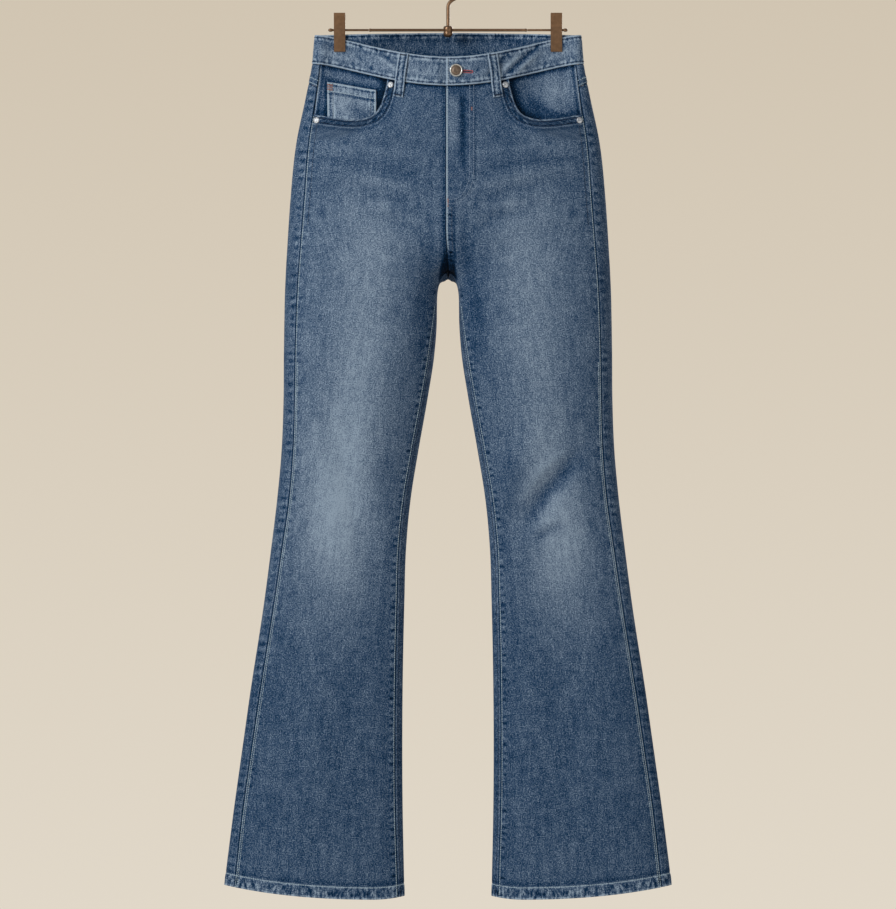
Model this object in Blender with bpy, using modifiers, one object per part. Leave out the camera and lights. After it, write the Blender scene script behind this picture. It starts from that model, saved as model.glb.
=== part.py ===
# Flared five-pocket jeans, hung by the waist from a telescopic clip hanger.
# The sizes below are in millimetres. Meshes are made in metres, +Z up, with the wearer's front towards -Y.
# The origin is the inside top of the hanger's hook, where it rests on a rail.

import math
from collections import namedtuple

import bmesh
import bpy
import numpy as np
from mathutils import Matrix, Vector

MM = 0.001

# Driving sizes of the garment. A drop is measured down from the waist's top edge at the side.
HOOK_TO_WAIST = 90.0
BAND_HEIGHT = 38.0
CROTCH_DROP = 312.0
HEM_DROP = 1132.0
HEM_HEIGHT = 16.0
FRONT_DIP = 29.5  # how far the waist's front sinks below its sides
BACK_RISE = 4.0  # how far the waist's back stands above its sides
DIP_END_DROP = 205.0  # below this the garment's rows are level

# Walls. Pieces that are sewn together lie a seam gap apart.
CLOTH = 1.2
BAND_CLOTH = 2.4
BAND_PROUD = 0.4
LOOP_CLOTH = 1.8
SEAM_GAP = 0.3

# How the two legs part at the crotch
MERGE_HEIGHT = 80.0  # between the legs the front and back turn under over this height
FORK_WIDTH = 0.36  # a share of the turn's sine, beyond which the hips pass smoothly into the legs
THIGH_DROPS = (175.0, 440.0)
ARCH_HEIGHT = 35.0  # the gap between the legs opens over this height
BACK_SAG = 14.0  # the back of the crotch hangs lower than its front
SAG_REACH = Vector((28.0, 25.0, 45.0))

# Where the hanger's clips pinch the waist
CLIP_X = 142.0
GRIP_HALF_DEPTH = 2.75
GRIP_HALF_WIDTH = 8.5
GRIP_END_DROP = 125.0
GRIP_SPREAD_IN = 0.30  # shares of the half width
GRIP_SPREAD_OUT = 0.115

# The fly laps over to the wearer's right
FLY_SHIFT = 2.6
FLY_WIDTH = 36.0
FLY_END_DROP = 221.0
FLY_RAISED = 0.8
UNDERLAP = 30.0
ZIP_THICKNESS = 1.3

# One row for each section: half width outside and inside, depth in front and behind, and how far the
# outseam and the inseam lie round on the front, measured from the leg's folds.
Section = namedtuple("Section", "drop outer inner front back outseam inseam")
SECTIONS = [
    Section(0, 174.5, 14.0, 34, 25, 10.0, 0.0),
    Section(38, 178.0, 14.0, 37, 30, 10.5, 0.0),
    Section(85, 187.0, 14.0, 41, 40, 13.0, 0.0),
    Section(137, 198.0, 14.0, 45, 51, 16.0, 0.0),
    Section(216, 206.5, 14.0, 49, 62, 18.0, 0.0),
    Section(268, 210.0, 14.0, 51, 63, 17.5, 0.0),
    Section(321, 213.0, 14.0, 51, 58, 16.5, 0.5),
    Section(412, 215.0, 17.0, 47, 51, 15.0, 7.0),
    Section(478, 215.5, 27.0, 43, 46, 14.5, 8.0),
    Section(543, 218.0, 38.5, 38, 40, 15.0, 8.5),
    Section(609, 224.0, 49.0, 33, 34, 15.5, 9.0),
    Section(675, 232.0, 55.0, 30, 31, 14.0, 9.5),
    Section(740, 240.5, 57.0, 28, 29, 13.0, 9.5),
    Section(871, 260.5, 59.5, 27, 29, 12.5, 9.5),
    Section(1002, 277.5, 59.5, 28, 30, 11.5, 9.5),
    Section(1132, 293.0, 57.0, 30, 32, 13.0, 8.5),
]

# The largest folds. Angle is in degrees from vertical, leaning outwards as it runs down.
# Height is outwards from the cloth, and below zero it is a trough.
Fold = namedtuple("Fold", "side face x drop angle length width height")
FOLDS = [
    Fold("r", "front", 106, 30, -62, 44, 13, 2.4),
    Fold("r", "front", 82, 20, -58, 38, 13, -2.0),
    Fold("l", "front", 98, 30, -55, 46, 13, 3.0),
    Fold("l", "front", 70, 24, -50, 38, 13, -2.6),
    Fold("r", "front", 60, 244, -74, 66, 17, -1.8),
    Fold("l", "front", 66, 236, -76, 70, 17, -1.8),
    Fold("r", "front", 120, 204, -80, 64, 16, -1.4),
    Fold("l", "front", 118, 196, -82, 64, 16, -1.4),
    Fold("l", "front", 122, 600, -38, 64, 20, -5.5),
    Fold("l", "front", 92, 556, -30, 56, 22, 3.0),
    Fold("r", "front", 128, 590, -12, 90, 22, -3.0),
    Fold("r", "front", 90, 470, 10, 110, 28, 2.5),
    Fold("l", "front", 66, 470, 8, 100, 24, -3.0),
    Fold("r", "front", 170, 900, 6, 170, 28, 2.0),
    Fold("l", "front", 150, 930, 4, 180, 30, -2.0),
    Fold("r", "back", 96, 306, -70, 74, 18, -4.0),
    Fold("l", "back", 100, 300, -72, 74, 18, -4.0),
    Fold("r", "back", 78, 362, -54, 80, 20, -4.5),
    Fold("l", "back", 82, 354, -56, 80, 20, -4.5),
    Fold("r", "back", 128, 590, -66, 60, 18, -4.5),
    Fold("l", "back", 132, 580, -64, 60, 18, -4.5),
    Fold("r", "back", 136, 650, -70, 54, 18, -3.5),
    Fold("l", "back", 140, 642, -70, 54, 18, -3.5),
    Fold("l", "back", 160, 920, 8, 170, 30, 3.0),
    Fold("r", "back", 168, 900, 6, 170, 30, -3.0),
]

# The front pocket's mouth, from the waist seam round to the outseam
POCKET_INNER_X = 80.5
Mouth = namedtuple("Mouth", "x drop")
POCKET_MOUTH = [
    Mouth(79.5, 38.2),
    Mouth(81.0, 48.0),
    Mouth(84.5, 63.0),
    Mouth(88.5, 77.0),
    Mouth(96.0, 90.0),
    Mouth(106.5, 98.5),
    Mouth(119.0, 103.0),
    Mouth(135.0, 105.0),
    Mouth(176.0, 104.0),
]
FACING_DROP = 146.0
BAG_DROP = 238.0
POCKET_SLACK = 0.8
POCKET_GAPE = 3.4
GAPE_X, GAPE_DROP, GAPE_SPREAD = 98.0, 78.0, 26.0

YOKE_SIDE_DROP, YOKE_BACK_DROP = 63.0, 104.0

Rivet = namedtuple("Rivet", "x drop")
RIVETS = {"inner": Rivet(75.0, 45.0), "outer": Rivet(172.0, 111.0)}
RIVET_RADIUS, RIVET_HEIGHT = 4.2, 1.7

BUTTON_X, BUTTON_DROP = 10.5, 18.5
BUTTON_RADIUS, SHANK_RADIUS = 8.4, 2.0
BUTTONHOLE_END_X, BUTTONHOLE_WIDTH = 31.0, 1.6

# A belt loop runs from the waist's top edge over the seam below it
Loop = namedtuple("Loop", "name side face top_x foot_x foot_drop")
LOOP_WIDTH = 12.6
LOOP_BULGE = 1.4
LOOPS = [
    Loop("belt_loop_front_r", "r", "front", 57.5, 65.0, 60.0),
    Loop("belt_loop_front_l", "l", "front", 57.5, 65.0, 60.0),
    Loop("belt_loop_side_r", "r", "back", 104.0, 106.0, 60.0),
    Loop("belt_loop_side_l", "l", "back", 104.0, 106.0, 60.0),
    Loop("belt_loop_back", "l", "back", 0.0, 0.0, 60.0),
]

# The back pocket: a five-sided patch
PATCH_X, PATCH_TOP_WIDTH, PATCH_FOOT_WIDTH = 98.0, 124.0, 108.0
PATCH_INNER_DROP, PATCH_OUTER_DROP = 131.0, 116.0
PATCH_SIDE_HEIGHT, PATCH_POINT = 122.0, 20.0

# The coin pocket shows inside the wearer's right pocket
COIN_INNER_X, COIN_OUTER_X = 95.0, 158.0
COIN_CLEARANCE = 0.45
COIN_INNER_DROP, COIN_OUTER_DROP, COIN_FOOT_DROP = 55.5, 59.0, 108.0

# The hanger
ROD_TO_WAIST = 6.5
SLEEVE_HALF, SLEEVE_RADIUS = 103.5, 2.1
ROD_END_X, ROD_RADIUS = 154.0, 1.5
FINIAL_RADIUS, FINIAL_LENGTH = 2.3, 5.0
CLIP_WIDTH, CLIP_PLATE = 15.0, 1.8
CLIP_ABOVE_WAIST, CLIP_BELOW_WAIST = 28.8, 22.0
CLIP_HANDLE_DEPTH = 9.5  # how far the handles stand open at the top
HOOK_WIRE, HOOK_RADIUS = 4.5, 23.0
HOOK_STEM_TOP_ABOVE_ROD = 29.0
COLLAR_RADIUS, COLLAR_ABOVE_ROD, COLLAR_BELOW_ROD = 6.0, 5.5, 9.5

SIDES = {"r": -1.0, "l": 1.0}  # the wearer's right is towards -X

DENIM = ("denim", (0.115, 0.185, 0.29), 0.9, 0.0)
DENIM_INSIDE = ("denim_inside", (0.30, 0.36, 0.44), 0.92, 0.0)
POCKETING = ("pocketing", (0.72, 0.69, 0.62), 0.9, 0.0)
ZIP_METAL = ("zip_metal", (0.42, 0.33, 0.20), 0.45, 0.8)
BUTTON_METAL = ("button_metal", (0.50, 0.43, 0.36), 0.35, 1.0)
RIVET_METAL = ("rivet_metal", (0.75, 0.75, 0.76), 0.3, 1.0)
HANGER_METAL = ("hanger_metal", (0.32, 0.22, 0.14), 0.35, 1.0)


# Smooth curves through a table's rows
def through(rows, places, at):
    rows, places = np.asarray(rows, float), np.asarray(places, float)
    slopes = np.gradient(rows, places)
    at = np.clip(at, places[0], places[-1])
    low = np.clip(np.searchsorted(places, at, side="right") - 1, 0, len(places) - 2)
    span = places[low + 1] - places[low]
    t = (at - places[low]) / span
    start, end = rows[low], rows[low + 1]
    first, last = slopes[low] * span, slopes[low + 1] * span
    return (
        start * (1 + 2 * t) * (1 - t) ** 2
        + first * t * (1 - t) ** 2
        + end * t**2 * (3 - 2 * t)
        + last * t**2 * (t - 1)
    )


def section(column, drop):
    return through([getattr(s, column) for s in SECTIONS], [s.drop for s in SECTIONS], drop)


def ease(value, start, end):
    t = np.clip((value - start) / (end - start), 0, 1)
    return t * t * (3 - 2 * t)


# The garment's outer surface. A turn runs round one side of it: 0 is the centre front or the inseam,
# 0.5 the fold at the side, and 1 the centre back, or the inseam again.
def fork(turn):
    return np.exp(-((np.sin(math.pi * turn) / FORK_WIDTH) ** 2))


def merged(turn, drop):
    s = np.clip((drop - CROTCH_DROP) / MERGE_HEIGHT + 1, 0, 1)
    near = fork(turn)
    return near * (1 - np.sqrt(1 - s * s)) + (1 - near) * ease(drop, *THIGH_DROPS)


def inner_fold(drop):
    s = np.clip((drop - CROTCH_DROP) / ARCH_HEIGHT, 0, 1)
    return section("inner", drop) * np.sqrt(s * (2 - s))


def ring_x(turn, drop):
    u, share = np.sin(math.pi * turn), merged(turn, drop)
    spread = ease(drop, CROTCH_DROP, THIGH_DROPS[1])
    apart = inner_fold(drop) * (1 - u * u) * (spread + (1 - spread) * fork(turn))
    return section("outer", drop) * ((1 - share) * u + share * u * u) + apart


def grip(x, drop):
    outer = section("outer", drop)
    off = np.maximum(np.abs(x - CLIP_X) - GRIP_HALF_WIDTH, 0) / outer
    spread = np.where(x < CLIP_X, GRIP_SPREAD_IN, GRIP_SPREAD_OUT)
    fade = 1 - ease(drop, CLIP_BELOW_WAIST + 3, GRIP_END_DROP)
    return fade * np.exp(-((off / spread) ** 2))


def fold_height(side, face, x, drop):
    height = np.zeros(np.broadcast(x, drop).shape)
    for f in FOLDS:
        if f.side != side or f.face != face:
            continue
        lean = math.radians(f.angle)
        right, down = x - f.x, drop - f.drop
        along = right * math.sin(lean) + down * math.cos(lean)
        across = right * math.cos(lean) - down * math.sin(lean)
        height += f.height * np.exp(-((along / f.length) ** 2) - (across / f.width) ** 2)
    return height


def dip(x, drop, front):
    share = np.clip(x / section("outer", drop), -1, 1)
    hollow = (1 - share * share) ** 1.7 * (1 - ease(drop, BAND_HEIGHT, DIP_END_DROP))
    return np.where(front, FRONT_DIP, -BACK_RISE) * hollow


def hem_lift(x, drop):
    inner, outer = inner_fold(drop), section("outer", drop)
    share = np.clip((x - inner) / (outer - inner), 0, 1)
    outer_lift, inner_lift, inner_reach = 19.0, 4.6, 0.18
    rise = outer_lift * share**2.6 + inner_lift * np.clip(1 - share / inner_reach, 0, 1) ** 2
    return rise * ease(drop, 880.0, HEM_DROP)


# Points of the outer surface, as an array whose last axis is x, y, z
def surface(side, turn, drop):
    turn, drop = np.broadcast_arrays(np.asarray(turn, float), np.asarray(drop, float))
    above = drop < CROTCH_DROP
    mirrored = above & ((turn < 0) | (turn > 1))
    turn = np.where(above & (turn < 0), -turn, turn)
    turn = np.where(above & (turn > 1), 2 - turn, turn)
    turn = np.where(~above & (turn < 0), turn + 1, turn)
    turn = np.where(~above & (turn > 1), turn - 1, turn)
    front = turn < 0.5
    depth = np.where(front, section("front", drop), section("back", drop))
    share = merged(turn, drop)
    x = ring_x(turn, drop)
    y = -depth * (
        (1 - share) * np.cos(math.pi * turn) + share * np.sin(2 * math.pi * turn)
    )
    facing = np.clip(np.abs(y) / depth / 0.4, 0, 1)
    local_x = np.where(mirrored, -x, x)
    other = {"r": "l", "l": "r"}[side]
    folds = {
        (s, f): fold_height(s, f, x, drop) for s in (side, other) for f in ("front", "back")
    }
    front_folds = np.where(mirrored, folds[other, "front"], folds[side, "front"])
    back_folds = np.where(mirrored, folds[other, "back"], folds[side, "back"])
    outwards = np.where(front, front_folds, back_folds) * facing * facing * (3 - 2 * facing)
    y = y + np.where(front, -outwards, outwards)
    pinch = grip(x, drop)
    y = y * (1 - pinch) + GRIP_HALF_DEPTH * pinch * np.tanh(y / 2)
    z = -(HOOK_TO_WAIST + drop) - dip(x, drop, front) + hem_lift(x, drop)
    near = np.exp(-((x / SAG_REACH.x) ** 2) - ((drop - CROTCH_DROP) / SAG_REACH.z) ** 2)
    z = z - BACK_SAG * near * ease(y, 0.0, SAG_REACH.y)
    return np.stack([SIDES[side] * local_x, y, z], axis=-1)


def outward(side, turn, drop):
    step, rise = 0.002, 1.0
    across = surface(side, turn + step, drop) - surface(side, turn - step, drop)
    down = surface(side, turn, drop + rise) - surface(side, turn, drop - rise)
    normal = -SIDES[side] * np.cross(across, down)
    return normal / np.maximum(np.linalg.norm(normal, axis=-1, keepdims=True), 1e-9)


def lifted(side, turn, drop, height):
    height = np.broadcast_to(np.asarray(height, float), np.shape(turn))
    return surface(side, turn, drop) + outward(side, turn, drop) * height[..., None]


# The turn at which the surface has this x, measured from the garment's middle towards the side
def turn_at(x, drop, face):
    x, drop = np.broadcast_arrays(np.asarray(x, float), np.asarray(drop, float))
    low, high = np.zeros(x.shape), np.full(x.shape, 0.5)
    for _ in range(34):
        middle = (low + high) / 2
        inside = ring_x(middle, drop) < np.abs(x)
        low, high = np.where(inside, middle, low), np.where(inside, high, middle)
    turn = (low + high) / 2
    if face == "back":
        return np.where(x < 0, 1 + turn, 1 - turn)
    return np.where(x < 0, -turn, turn)


def outseam(drop):
    return turn_at(section("outer", drop) - section("outseam", drop), drop, "front")


# The front's inner seam: the fly's edge, then the rise, then the inseam
def inseam(side, drop):
    lap = -SIDES[side] * FLY_SHIFT * (1 - ease(drop, FLY_END_DROP, CROTCH_DROP - 30))
    x = np.where(drop < CROTCH_DROP, lap, inner_fold(drop) + section("inseam", drop))
    return turn_at(x, drop, "front")


def seam_step(side, turn, drop):
    step = 0.001
    speed = np.linalg.norm(surface(side, turn + step, drop) - surface(side, turn - step, drop), axis=-1)
    return SEAM_GAP / 2 * 2 * step / np.maximum(speed, 1e-6)


def span_turn(side, start, end, share, drop):
    start = start + seam_step(side, start, drop)
    end = end - seam_step(side, end, drop)
    return start + (end - start) * share


# share runs from the inner seam to the outseam on the front
def front_turn(side, share, drop):
    return span_turn(side, inseam(side, drop), outseam(drop), share, drop)


# share runs from the outseam to the centre back, or to the inseam
def back_turn(side, share, drop):
    end = 1 + np.where(drop < CROTCH_DROP, 0.0, inseam(side, drop))
    return span_turn(side, outseam(drop), end, share, drop)


FRONT_COLUMNS = np.linspace(0, 1, 16)
BACK_COLUMNS = np.linspace(0, 1, 16)

# The solids of one panel, from the waist down, and the drops at which they part
PANEL_LENGTHS = ("hip", "thigh", "knee", "flare")
PANEL_CUTS = (291.5, 582.0, 871.0)


# Materials and objects
def finish(made, look):
    name, colour, roughness, metallic = look
    material = bpy.data.materials.get(name)
    if material is None:
        material = bpy.data.materials.new(name)
        material.use_nodes = True
        shader = material.node_tree.nodes["Principled BSDF"]
        shader.inputs["Base Color"].default_value = (*colour, 1)
        shader.inputs["Roughness"].default_value = roughness
        shader.inputs["Metallic"].default_value = metallic
        material.diffuse_color = (*colour, 1)
    made.data.materials.append(material)
    return made


def add(name, data, group="jeans_on_clip_hanger"):
    made = bpy.data.objects.new(name, data)
    collection = bpy.data.collections.get(group)
    if collection is None:
        collection = bpy.data.collections.new(group)
        bpy.context.scene.collection.children.link(collection)
    collection.objects.link(made)
    return made


# A cloth wall: two grids of points, joined round their rim, or end to end where the wall is a tube
def wall(name, outer, inner, look, tube=False):
    rows, columns = outer.shape[:2]
    points = np.concatenate([outer.reshape(-1, 3), inner.reshape(-1, 3)]) * MM
    back = rows * columns
    wraps = columns if tube else columns - 1
    faces = []
    for r in range(rows - 1):
        for c in range(wraps):
            a, b = r * columns + c, r * columns + (c + 1) % columns
            faces.append((a, b, b + columns, a + columns))
            faces.append((back + a, back + a + columns, back + b + columns, back + b))
    for c in range(wraps):
        for r, first in ((0, False), (rows - 1, True)):
            a, b = r * columns + c, r * columns + (c + 1) % columns
            rim = (a, b, back + b, back + a)
            faces.append(rim if first else rim[::-1])
    if not tube:
        for r in range(rows - 1):
            for c, first in ((0, True), (columns - 1, False)):
                a, b = r * columns + c, (r + 1) * columns + c
                rim = (a, b, back + b, back + a)
                faces.append(rim if first else rim[::-1])
    mesh = bpy.data.meshes.new(name)
    mesh.from_pydata(points.tolist(), [], faces)
    mesh.update()
    shaped = bmesh.new()
    shaped.from_mesh(mesh)
    if shaped.calc_volume(signed=True) < 0:
        bmesh.ops.reverse_faces(shaped, faces=shaped.faces)
    shaped.to_mesh(mesh)
    shaped.free()
    mesh.shade_smooth()
    mesh.set_sharp_from_angle(angle=math.radians(50))
    return finish(add(name, mesh), look)


# A piece on the surface, between two heights above it
def cloth(name, side, turn, drop, top, bottom, look, tube=False, keep_x=None):
    outer, inner = lifted(side, turn, drop, top), lifted(side, turn, drop, bottom)
    if keep_x is not None:
        for grid in (outer, inner):
            local = np.maximum(grid[..., 0] * SIDES[side], keep_x)
            grid[..., 0] = local * SIDES[side]
    return wall(name, outer, inner, look, tube)


# Rows down the garment, closest together where the surface turns under at the crotch
def row_drops(start, end):
    rows = [38, 60, 85, 111, 137, 165, 195, 218]
    rows += [CROTCH_DROP - MERGE_HEIGHT * (1 - math.sin(math.radians(a))) for a in (0, 17, 33, 48, 62, 76)]
    rows += [CROTCH_DROP]
    rows += [CROTCH_DROP + ARCH_HEIGHT * (1 - math.cos(math.radians(a))) for a in (22, 44, 66, 90)]
    rows += [378, 412, 446, 480, 515, 550, 582, 612, 645, 690, 740, 800, 871, 936, 1002, 1060, 1110]
    return [start] + [r for r in rows if start + 4 < r < end - 4] + [end]


# A panel is made in lengths, each with a plain enough shape to collide well. Its columns run through them all.
def panel(face, side, turn_of, shares, drops, raised):
    cuts = [int(np.argmin(np.abs(drops[:, 0] - cut))) for cut in PANEL_CUTS]
    last_row = len(drops) - 1
    for length, first, last in zip(PANEL_LENGTHS, [0] + cuts, cuts + [last_row]):
        rows = drops[first : last + 1].copy()
        rows[0] += SEAM_GAP / 2 * (first > 0)
        rows[-1] -= SEAM_GAP / 2 * (last < last_row)
        turns = turn_of(side, shares[first : last + 1], rows)
        keep = np.where(rows > 250, SEAM_GAP / 2, -np.inf)
        height = raised[first : last + 1]
        cloth(f"{face}_{length}_{side}", side, turns, rows, height, -CLOTH, DENIM, keep_x=keep)


def mouth_line(count):
    drops, xs = [m.drop for m in POCKET_MOUTH], [m.x for m in POCKET_MOUTH]
    length = np.concatenate([[0], np.cumsum(np.hypot(np.diff(xs), np.diff(drops)))])
    at = np.linspace(0, length[-1], count)
    return through(xs, length, at), through(drops, length, at)


# The front runs down from the waist seam and the pocket's mouth
def front_panel(side):
    flat_columns, mouth_columns, level_drop = 6, 10, 137
    mouth_x, mouth_drop = mouth_line(mouth_columns)
    waist_drop = BAND_HEIGHT + SEAM_GAP / 2
    mouth_share = np.empty(mouth_columns)
    for i in range(mouth_columns):
        start, end = front_turn(side, np.array([0.0, 1.0]), mouth_drop[i])
        mouth_share[i] = (turn_at(mouth_x[i], mouth_drop[i], "front") - start) / (end - start)
    mouth_share[-1] = 1.0
    flat_share = np.linspace(0, mouth_share[0], flat_columns, endpoint=False)
    top_share = np.concatenate([flat_share, mouth_share])
    top_drop = np.concatenate([np.full(flat_columns, waist_drop), mouth_drop])
    even = FRONT_COLUMNS
    shares, drops = [], []
    for v, spread in ((0.0, 0.0), (0.07, 0.01), (0.35, 0.2), (0.68, 0.55)):
        shares.append(top_share + (even - top_share) * spread)
        drops.append(top_drop + (level_drop - top_drop) * v)
    for drop in row_drops(level_drop, HEM_DROP):
        settled = ease(drop, level_drop, 230)
        shares.append(top_share + (even - top_share) * (0.8 + 0.2 * settled))
        drops.append(np.full(len(even), float(drop)))
    shares, drops = np.array(shares), np.array(drops)
    turns = front_turn(side, shares, drops)
    raised = np.zeros(turns.shape)
    if side == "l":
        x = surface(side, turns, drops)[..., 0]
        reach = FLY_WIDTH * np.sqrt(np.clip(1 - ease(drops, FLY_END_DROP - 45, FLY_END_DROP + 6) ** 2, 0, 1))
        raised = FLY_RAISED * (1 - ease(x, reach - 6, reach + 6)) * (drops < FLY_END_DROP)
    panel("front", side, front_turn, shares, drops, raised)


def yoke_drop(side, turn):
    x = np.clip(np.sin(math.pi * turn), 0, 1)
    return YOKE_SIDE_DROP + (YOKE_BACK_DROP - YOKE_SIDE_DROP) * (1 - x) ** 0.8


# The back's columns start at the yoke seam
def back_panel(side):
    even, level_drop = BACK_COLUMNS, 137
    seam = yoke_drop(side, back_turn(side, even, 80.0)) + SEAM_GAP / 2
    drops = [seam, seam + (level_drop - seam) * 0.5]
    drops += [np.full(len(even), float(d)) for d in row_drops(level_drop, HEM_DROP)]
    drops = np.array(drops)
    panel("back", side, back_turn, np.broadcast_to(even, drops.shape), drops, np.zeros(drops.shape))


def yoke(side):
    even = BACK_COLUMNS
    seam = yoke_drop(side, back_turn(side, even, 80.0)) - SEAM_GAP / 2
    top = BAND_HEIGHT + SEAM_GAP / 2
    drops = np.array([top + (seam - top) * v for v in (0.0, 0.5, 1.0)])
    turns = back_turn(side, np.broadcast_to(even, drops.shape), drops)
    cloth(f"yoke_{side}", side, turns, drops, 0.0, -CLOTH, DENIM)


# The waistband's right half passes under the left one at the front
def waistband(side):
    edge = -FLY_SHIFT + SEAM_GAP / 2 if side == "l" else -UNDERLAP
    rows = np.array([0.0, 3.0, BAND_HEIGHT / 2, BAND_HEIGHT - SEAM_GAP / 2])
    start = turn_at(edge, rows, "front")
    end = 1 - seam_step(side, np.ones(len(rows)), rows)
    shares = np.linspace(0, 1, 31)
    if side == "r":
        lap_end = turn_at(FLY_SHIFT, rows[0], "front") - start[0]
        extra = np.array([0.22, 0.5, 0.8, 1.0, 1.25]) * lap_end / (end[0] - start[0])
        shares = np.unique(np.concatenate([[0.0], extra, shares[shares > extra[-1] + 0.01]]))
    turns = start[:, None] + (end - start)[:, None] * shares
    drops = np.broadcast_to(rows[:, None], turns.shape)
    under = np.zeros(turns.shape)
    if side == "r":
        x = -surface(side, turns, drops)[..., 0]
        front = (turns < 0.5).astype(float)
        under = (BAND_CLOTH + SEAM_GAP) * (1 - ease(x, FLY_SHIFT + 0.6, FLY_SHIFT + 12)) * front
    outer_height = BAND_PROUD - under
    return cloth(f"waistband_{side}", side, turns, drops, outer_height, outer_height - BAND_CLOTH, DENIM)


# Cutters for the buttonhole: a round eye for the shank and a slit that runs away from it
def cut_buttonhole(band):
    eye_radius = SHANK_RADIUS + SEAM_GAP
    place, axis = button_place()
    turned = Vector(axis).to_track_quat("Z", "X").to_matrix().to_4x4()
    eye = bmesh.new()
    bmesh.ops.create_cone(
        eye, cap_ends=True, segments=12, radius1=eye_radius * MM, radius2=eye_radius * MM, depth=12 * MM
    )
    slit = bmesh.new()
    bmesh.ops.create_cube(slit, size=1.0)
    length = BUTTONHOLE_END_X - BUTTON_X
    bmesh.ops.scale(slit, vec=(length * MM, 12 * MM, BUTTONHOLE_WIDTH * MM), verts=slit.verts)
    bmesh.ops.translate(slit, vec=(length / 2 * MM, 0, 0), verts=slit.verts)
    for name, shape, matrix in (("eye", eye, turned), ("slit", slit, Matrix())):
        mesh = bpy.data.meshes.new(f"cutter_buttonhole_{name}")
        shape.to_mesh(mesh)
        shape.free()
        cutter = add(mesh.name, mesh, "cutters")
        cutter.matrix_world = Matrix.Translation(Vector(place) * MM) @ matrix
        cutter.hide_render = True
        cutter.display_type = "WIRE"
        cut = band.modifiers.new(f"cut_{name}", "BOOLEAN")
        cut.object = cutter
        cut.operation = "DIFFERENCE"
        cut.solver = "EXACT"


# The facing hangs a little away from the mouth's lower corner, and the bag hangs on below it
def facing_height(x, drop):
    off = ((x - GAPE_X) / GAPE_SPREAD) ** 2 + ((drop - GAPE_DROP) / GAPE_SPREAD) ** 2
    slack = POCKET_SLACK * ease(drop, BAND_HEIGHT, BAND_HEIGHT + 12)
    return -(CLOTH + SEAM_GAP) - slack - POCKET_GAPE * np.exp(-off)


def pocket_inside(side):
    columns = 14
    for name, start, end, look, rows in (
        ("pocket_facing", BAND_HEIGHT + SEAM_GAP / 2, FACING_DROP, DENIM, 9),
        ("pocket_bag", FACING_DROP + SEAM_GAP, BAG_DROP, POCKETING, 6),
    ):
        drops = np.broadcast_to(np.linspace(start, end, rows)[:, None], (rows, columns))
        side_turn = outseam(drops[:, 0]) - 3 * seam_step(side, outseam(drops[:, 0]), drops[:, 0])
        foot = np.clip((drops[:, 0] - FACING_DROP) / (BAG_DROP - FACING_DROP), 0, 1)
        inner_turn = turn_at(POCKET_INNER_X - 20 + 14 * foot**3, drops[:, 0], "front")
        side_turn = side_turn - 0.03 * foot**3
        turns = inner_turn[:, None] + (side_turn - inner_turn)[:, None] * np.linspace(0, 1, columns)
        x = np.abs(surface(side, turns, drops)[..., 0])
        height = facing_height(x, drops)
        cloth(f"{name}_{side}", side, turns, drops, height, height - CLOTH, look)


def coin_pocket():
    columns, rows = 8, 6
    s, t = np.meshgrid(np.linspace(0, 1, columns), np.linspace(0, 1, rows))
    x = COIN_INNER_X + (COIN_OUTER_X - COIN_INNER_X) * s
    top = COIN_INNER_DROP + (COIN_OUTER_DROP - COIN_INNER_DROP) * s
    drops = top + (COIN_FOOT_DROP - top) * t
    bottom = facing_height(x, drops) + COIN_CLEARANCE
    thickness = CLOTH + 0.5 - ease(drops, COIN_OUTER_DROP + 10, COIN_OUTER_DROP + 16) * 0.8
    # The foot lies between the front and the facing.
    buried = ease(drops, 88.0, COIN_FOOT_DROP - 6)
    turns = turn_at(x, drops, "front")
    cloth("coin_pocket", "r", turns, drops, bottom + thickness * (1 - 0.45 * buried), bottom, DENIM)


# Behind the fly lie the zip and the shield
def fly():
    zip_top = -(CLOTH + 2 * SEAM_GAP)
    shield_top = zip_top - ZIP_THICKNESS - SEAM_GAP
    layers = [
        ("zip", 16.0, FLY_END_DROP - 12, zip_top, ZIP_THICKNESS, ZIP_METAL),
        ("fly_shield", 30.0, FLY_END_DROP + 4, shield_top, CLOTH, DENIM_INSIDE),
    ]
    start_x = -9.0
    for name, end_x, end_drop, top, thickness, look in layers:
        rows = np.linspace(BAND_HEIGHT + 1.0, end_drop, 9)
        drops = np.broadcast_to(rows[:, None], (9, 5))
        narrowed = np.sqrt(1 - 0.75 * ease(drops, end_drop - 40, end_drop) ** 2)
        x = start_x + (end_x - start_x) * np.linspace(0, 1, 5) * narrowed
        cloth(name, "l", turn_at(x, drops, "front"), drops, top, top - thickness, look)


def belt_loop(loop):
    rows, columns = 9, 3
    t, s = np.meshgrid(np.linspace(0, 1, rows), np.linspace(-0.5, 0.5, columns), indexing="ij")
    drops = 0.4 + (loop.foot_drop - 0.4) * t
    x = loop.top_x + (loop.foot_x - loop.top_x) * t + LOOP_WIDTH * s
    stands_on = BAND_PROUD + SEAM_GAP - (BAND_PROUD - 0.1) * ease(drops, BAND_HEIGHT + 6, BAND_HEIGHT + 14)
    bottom = stands_on + LOOP_BULGE * np.sin(math.pi * t)
    cloth(loop.name, loop.side, turn_at(x, drops, loop.face), drops, bottom + LOOP_CLOTH, bottom, DENIM)


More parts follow.
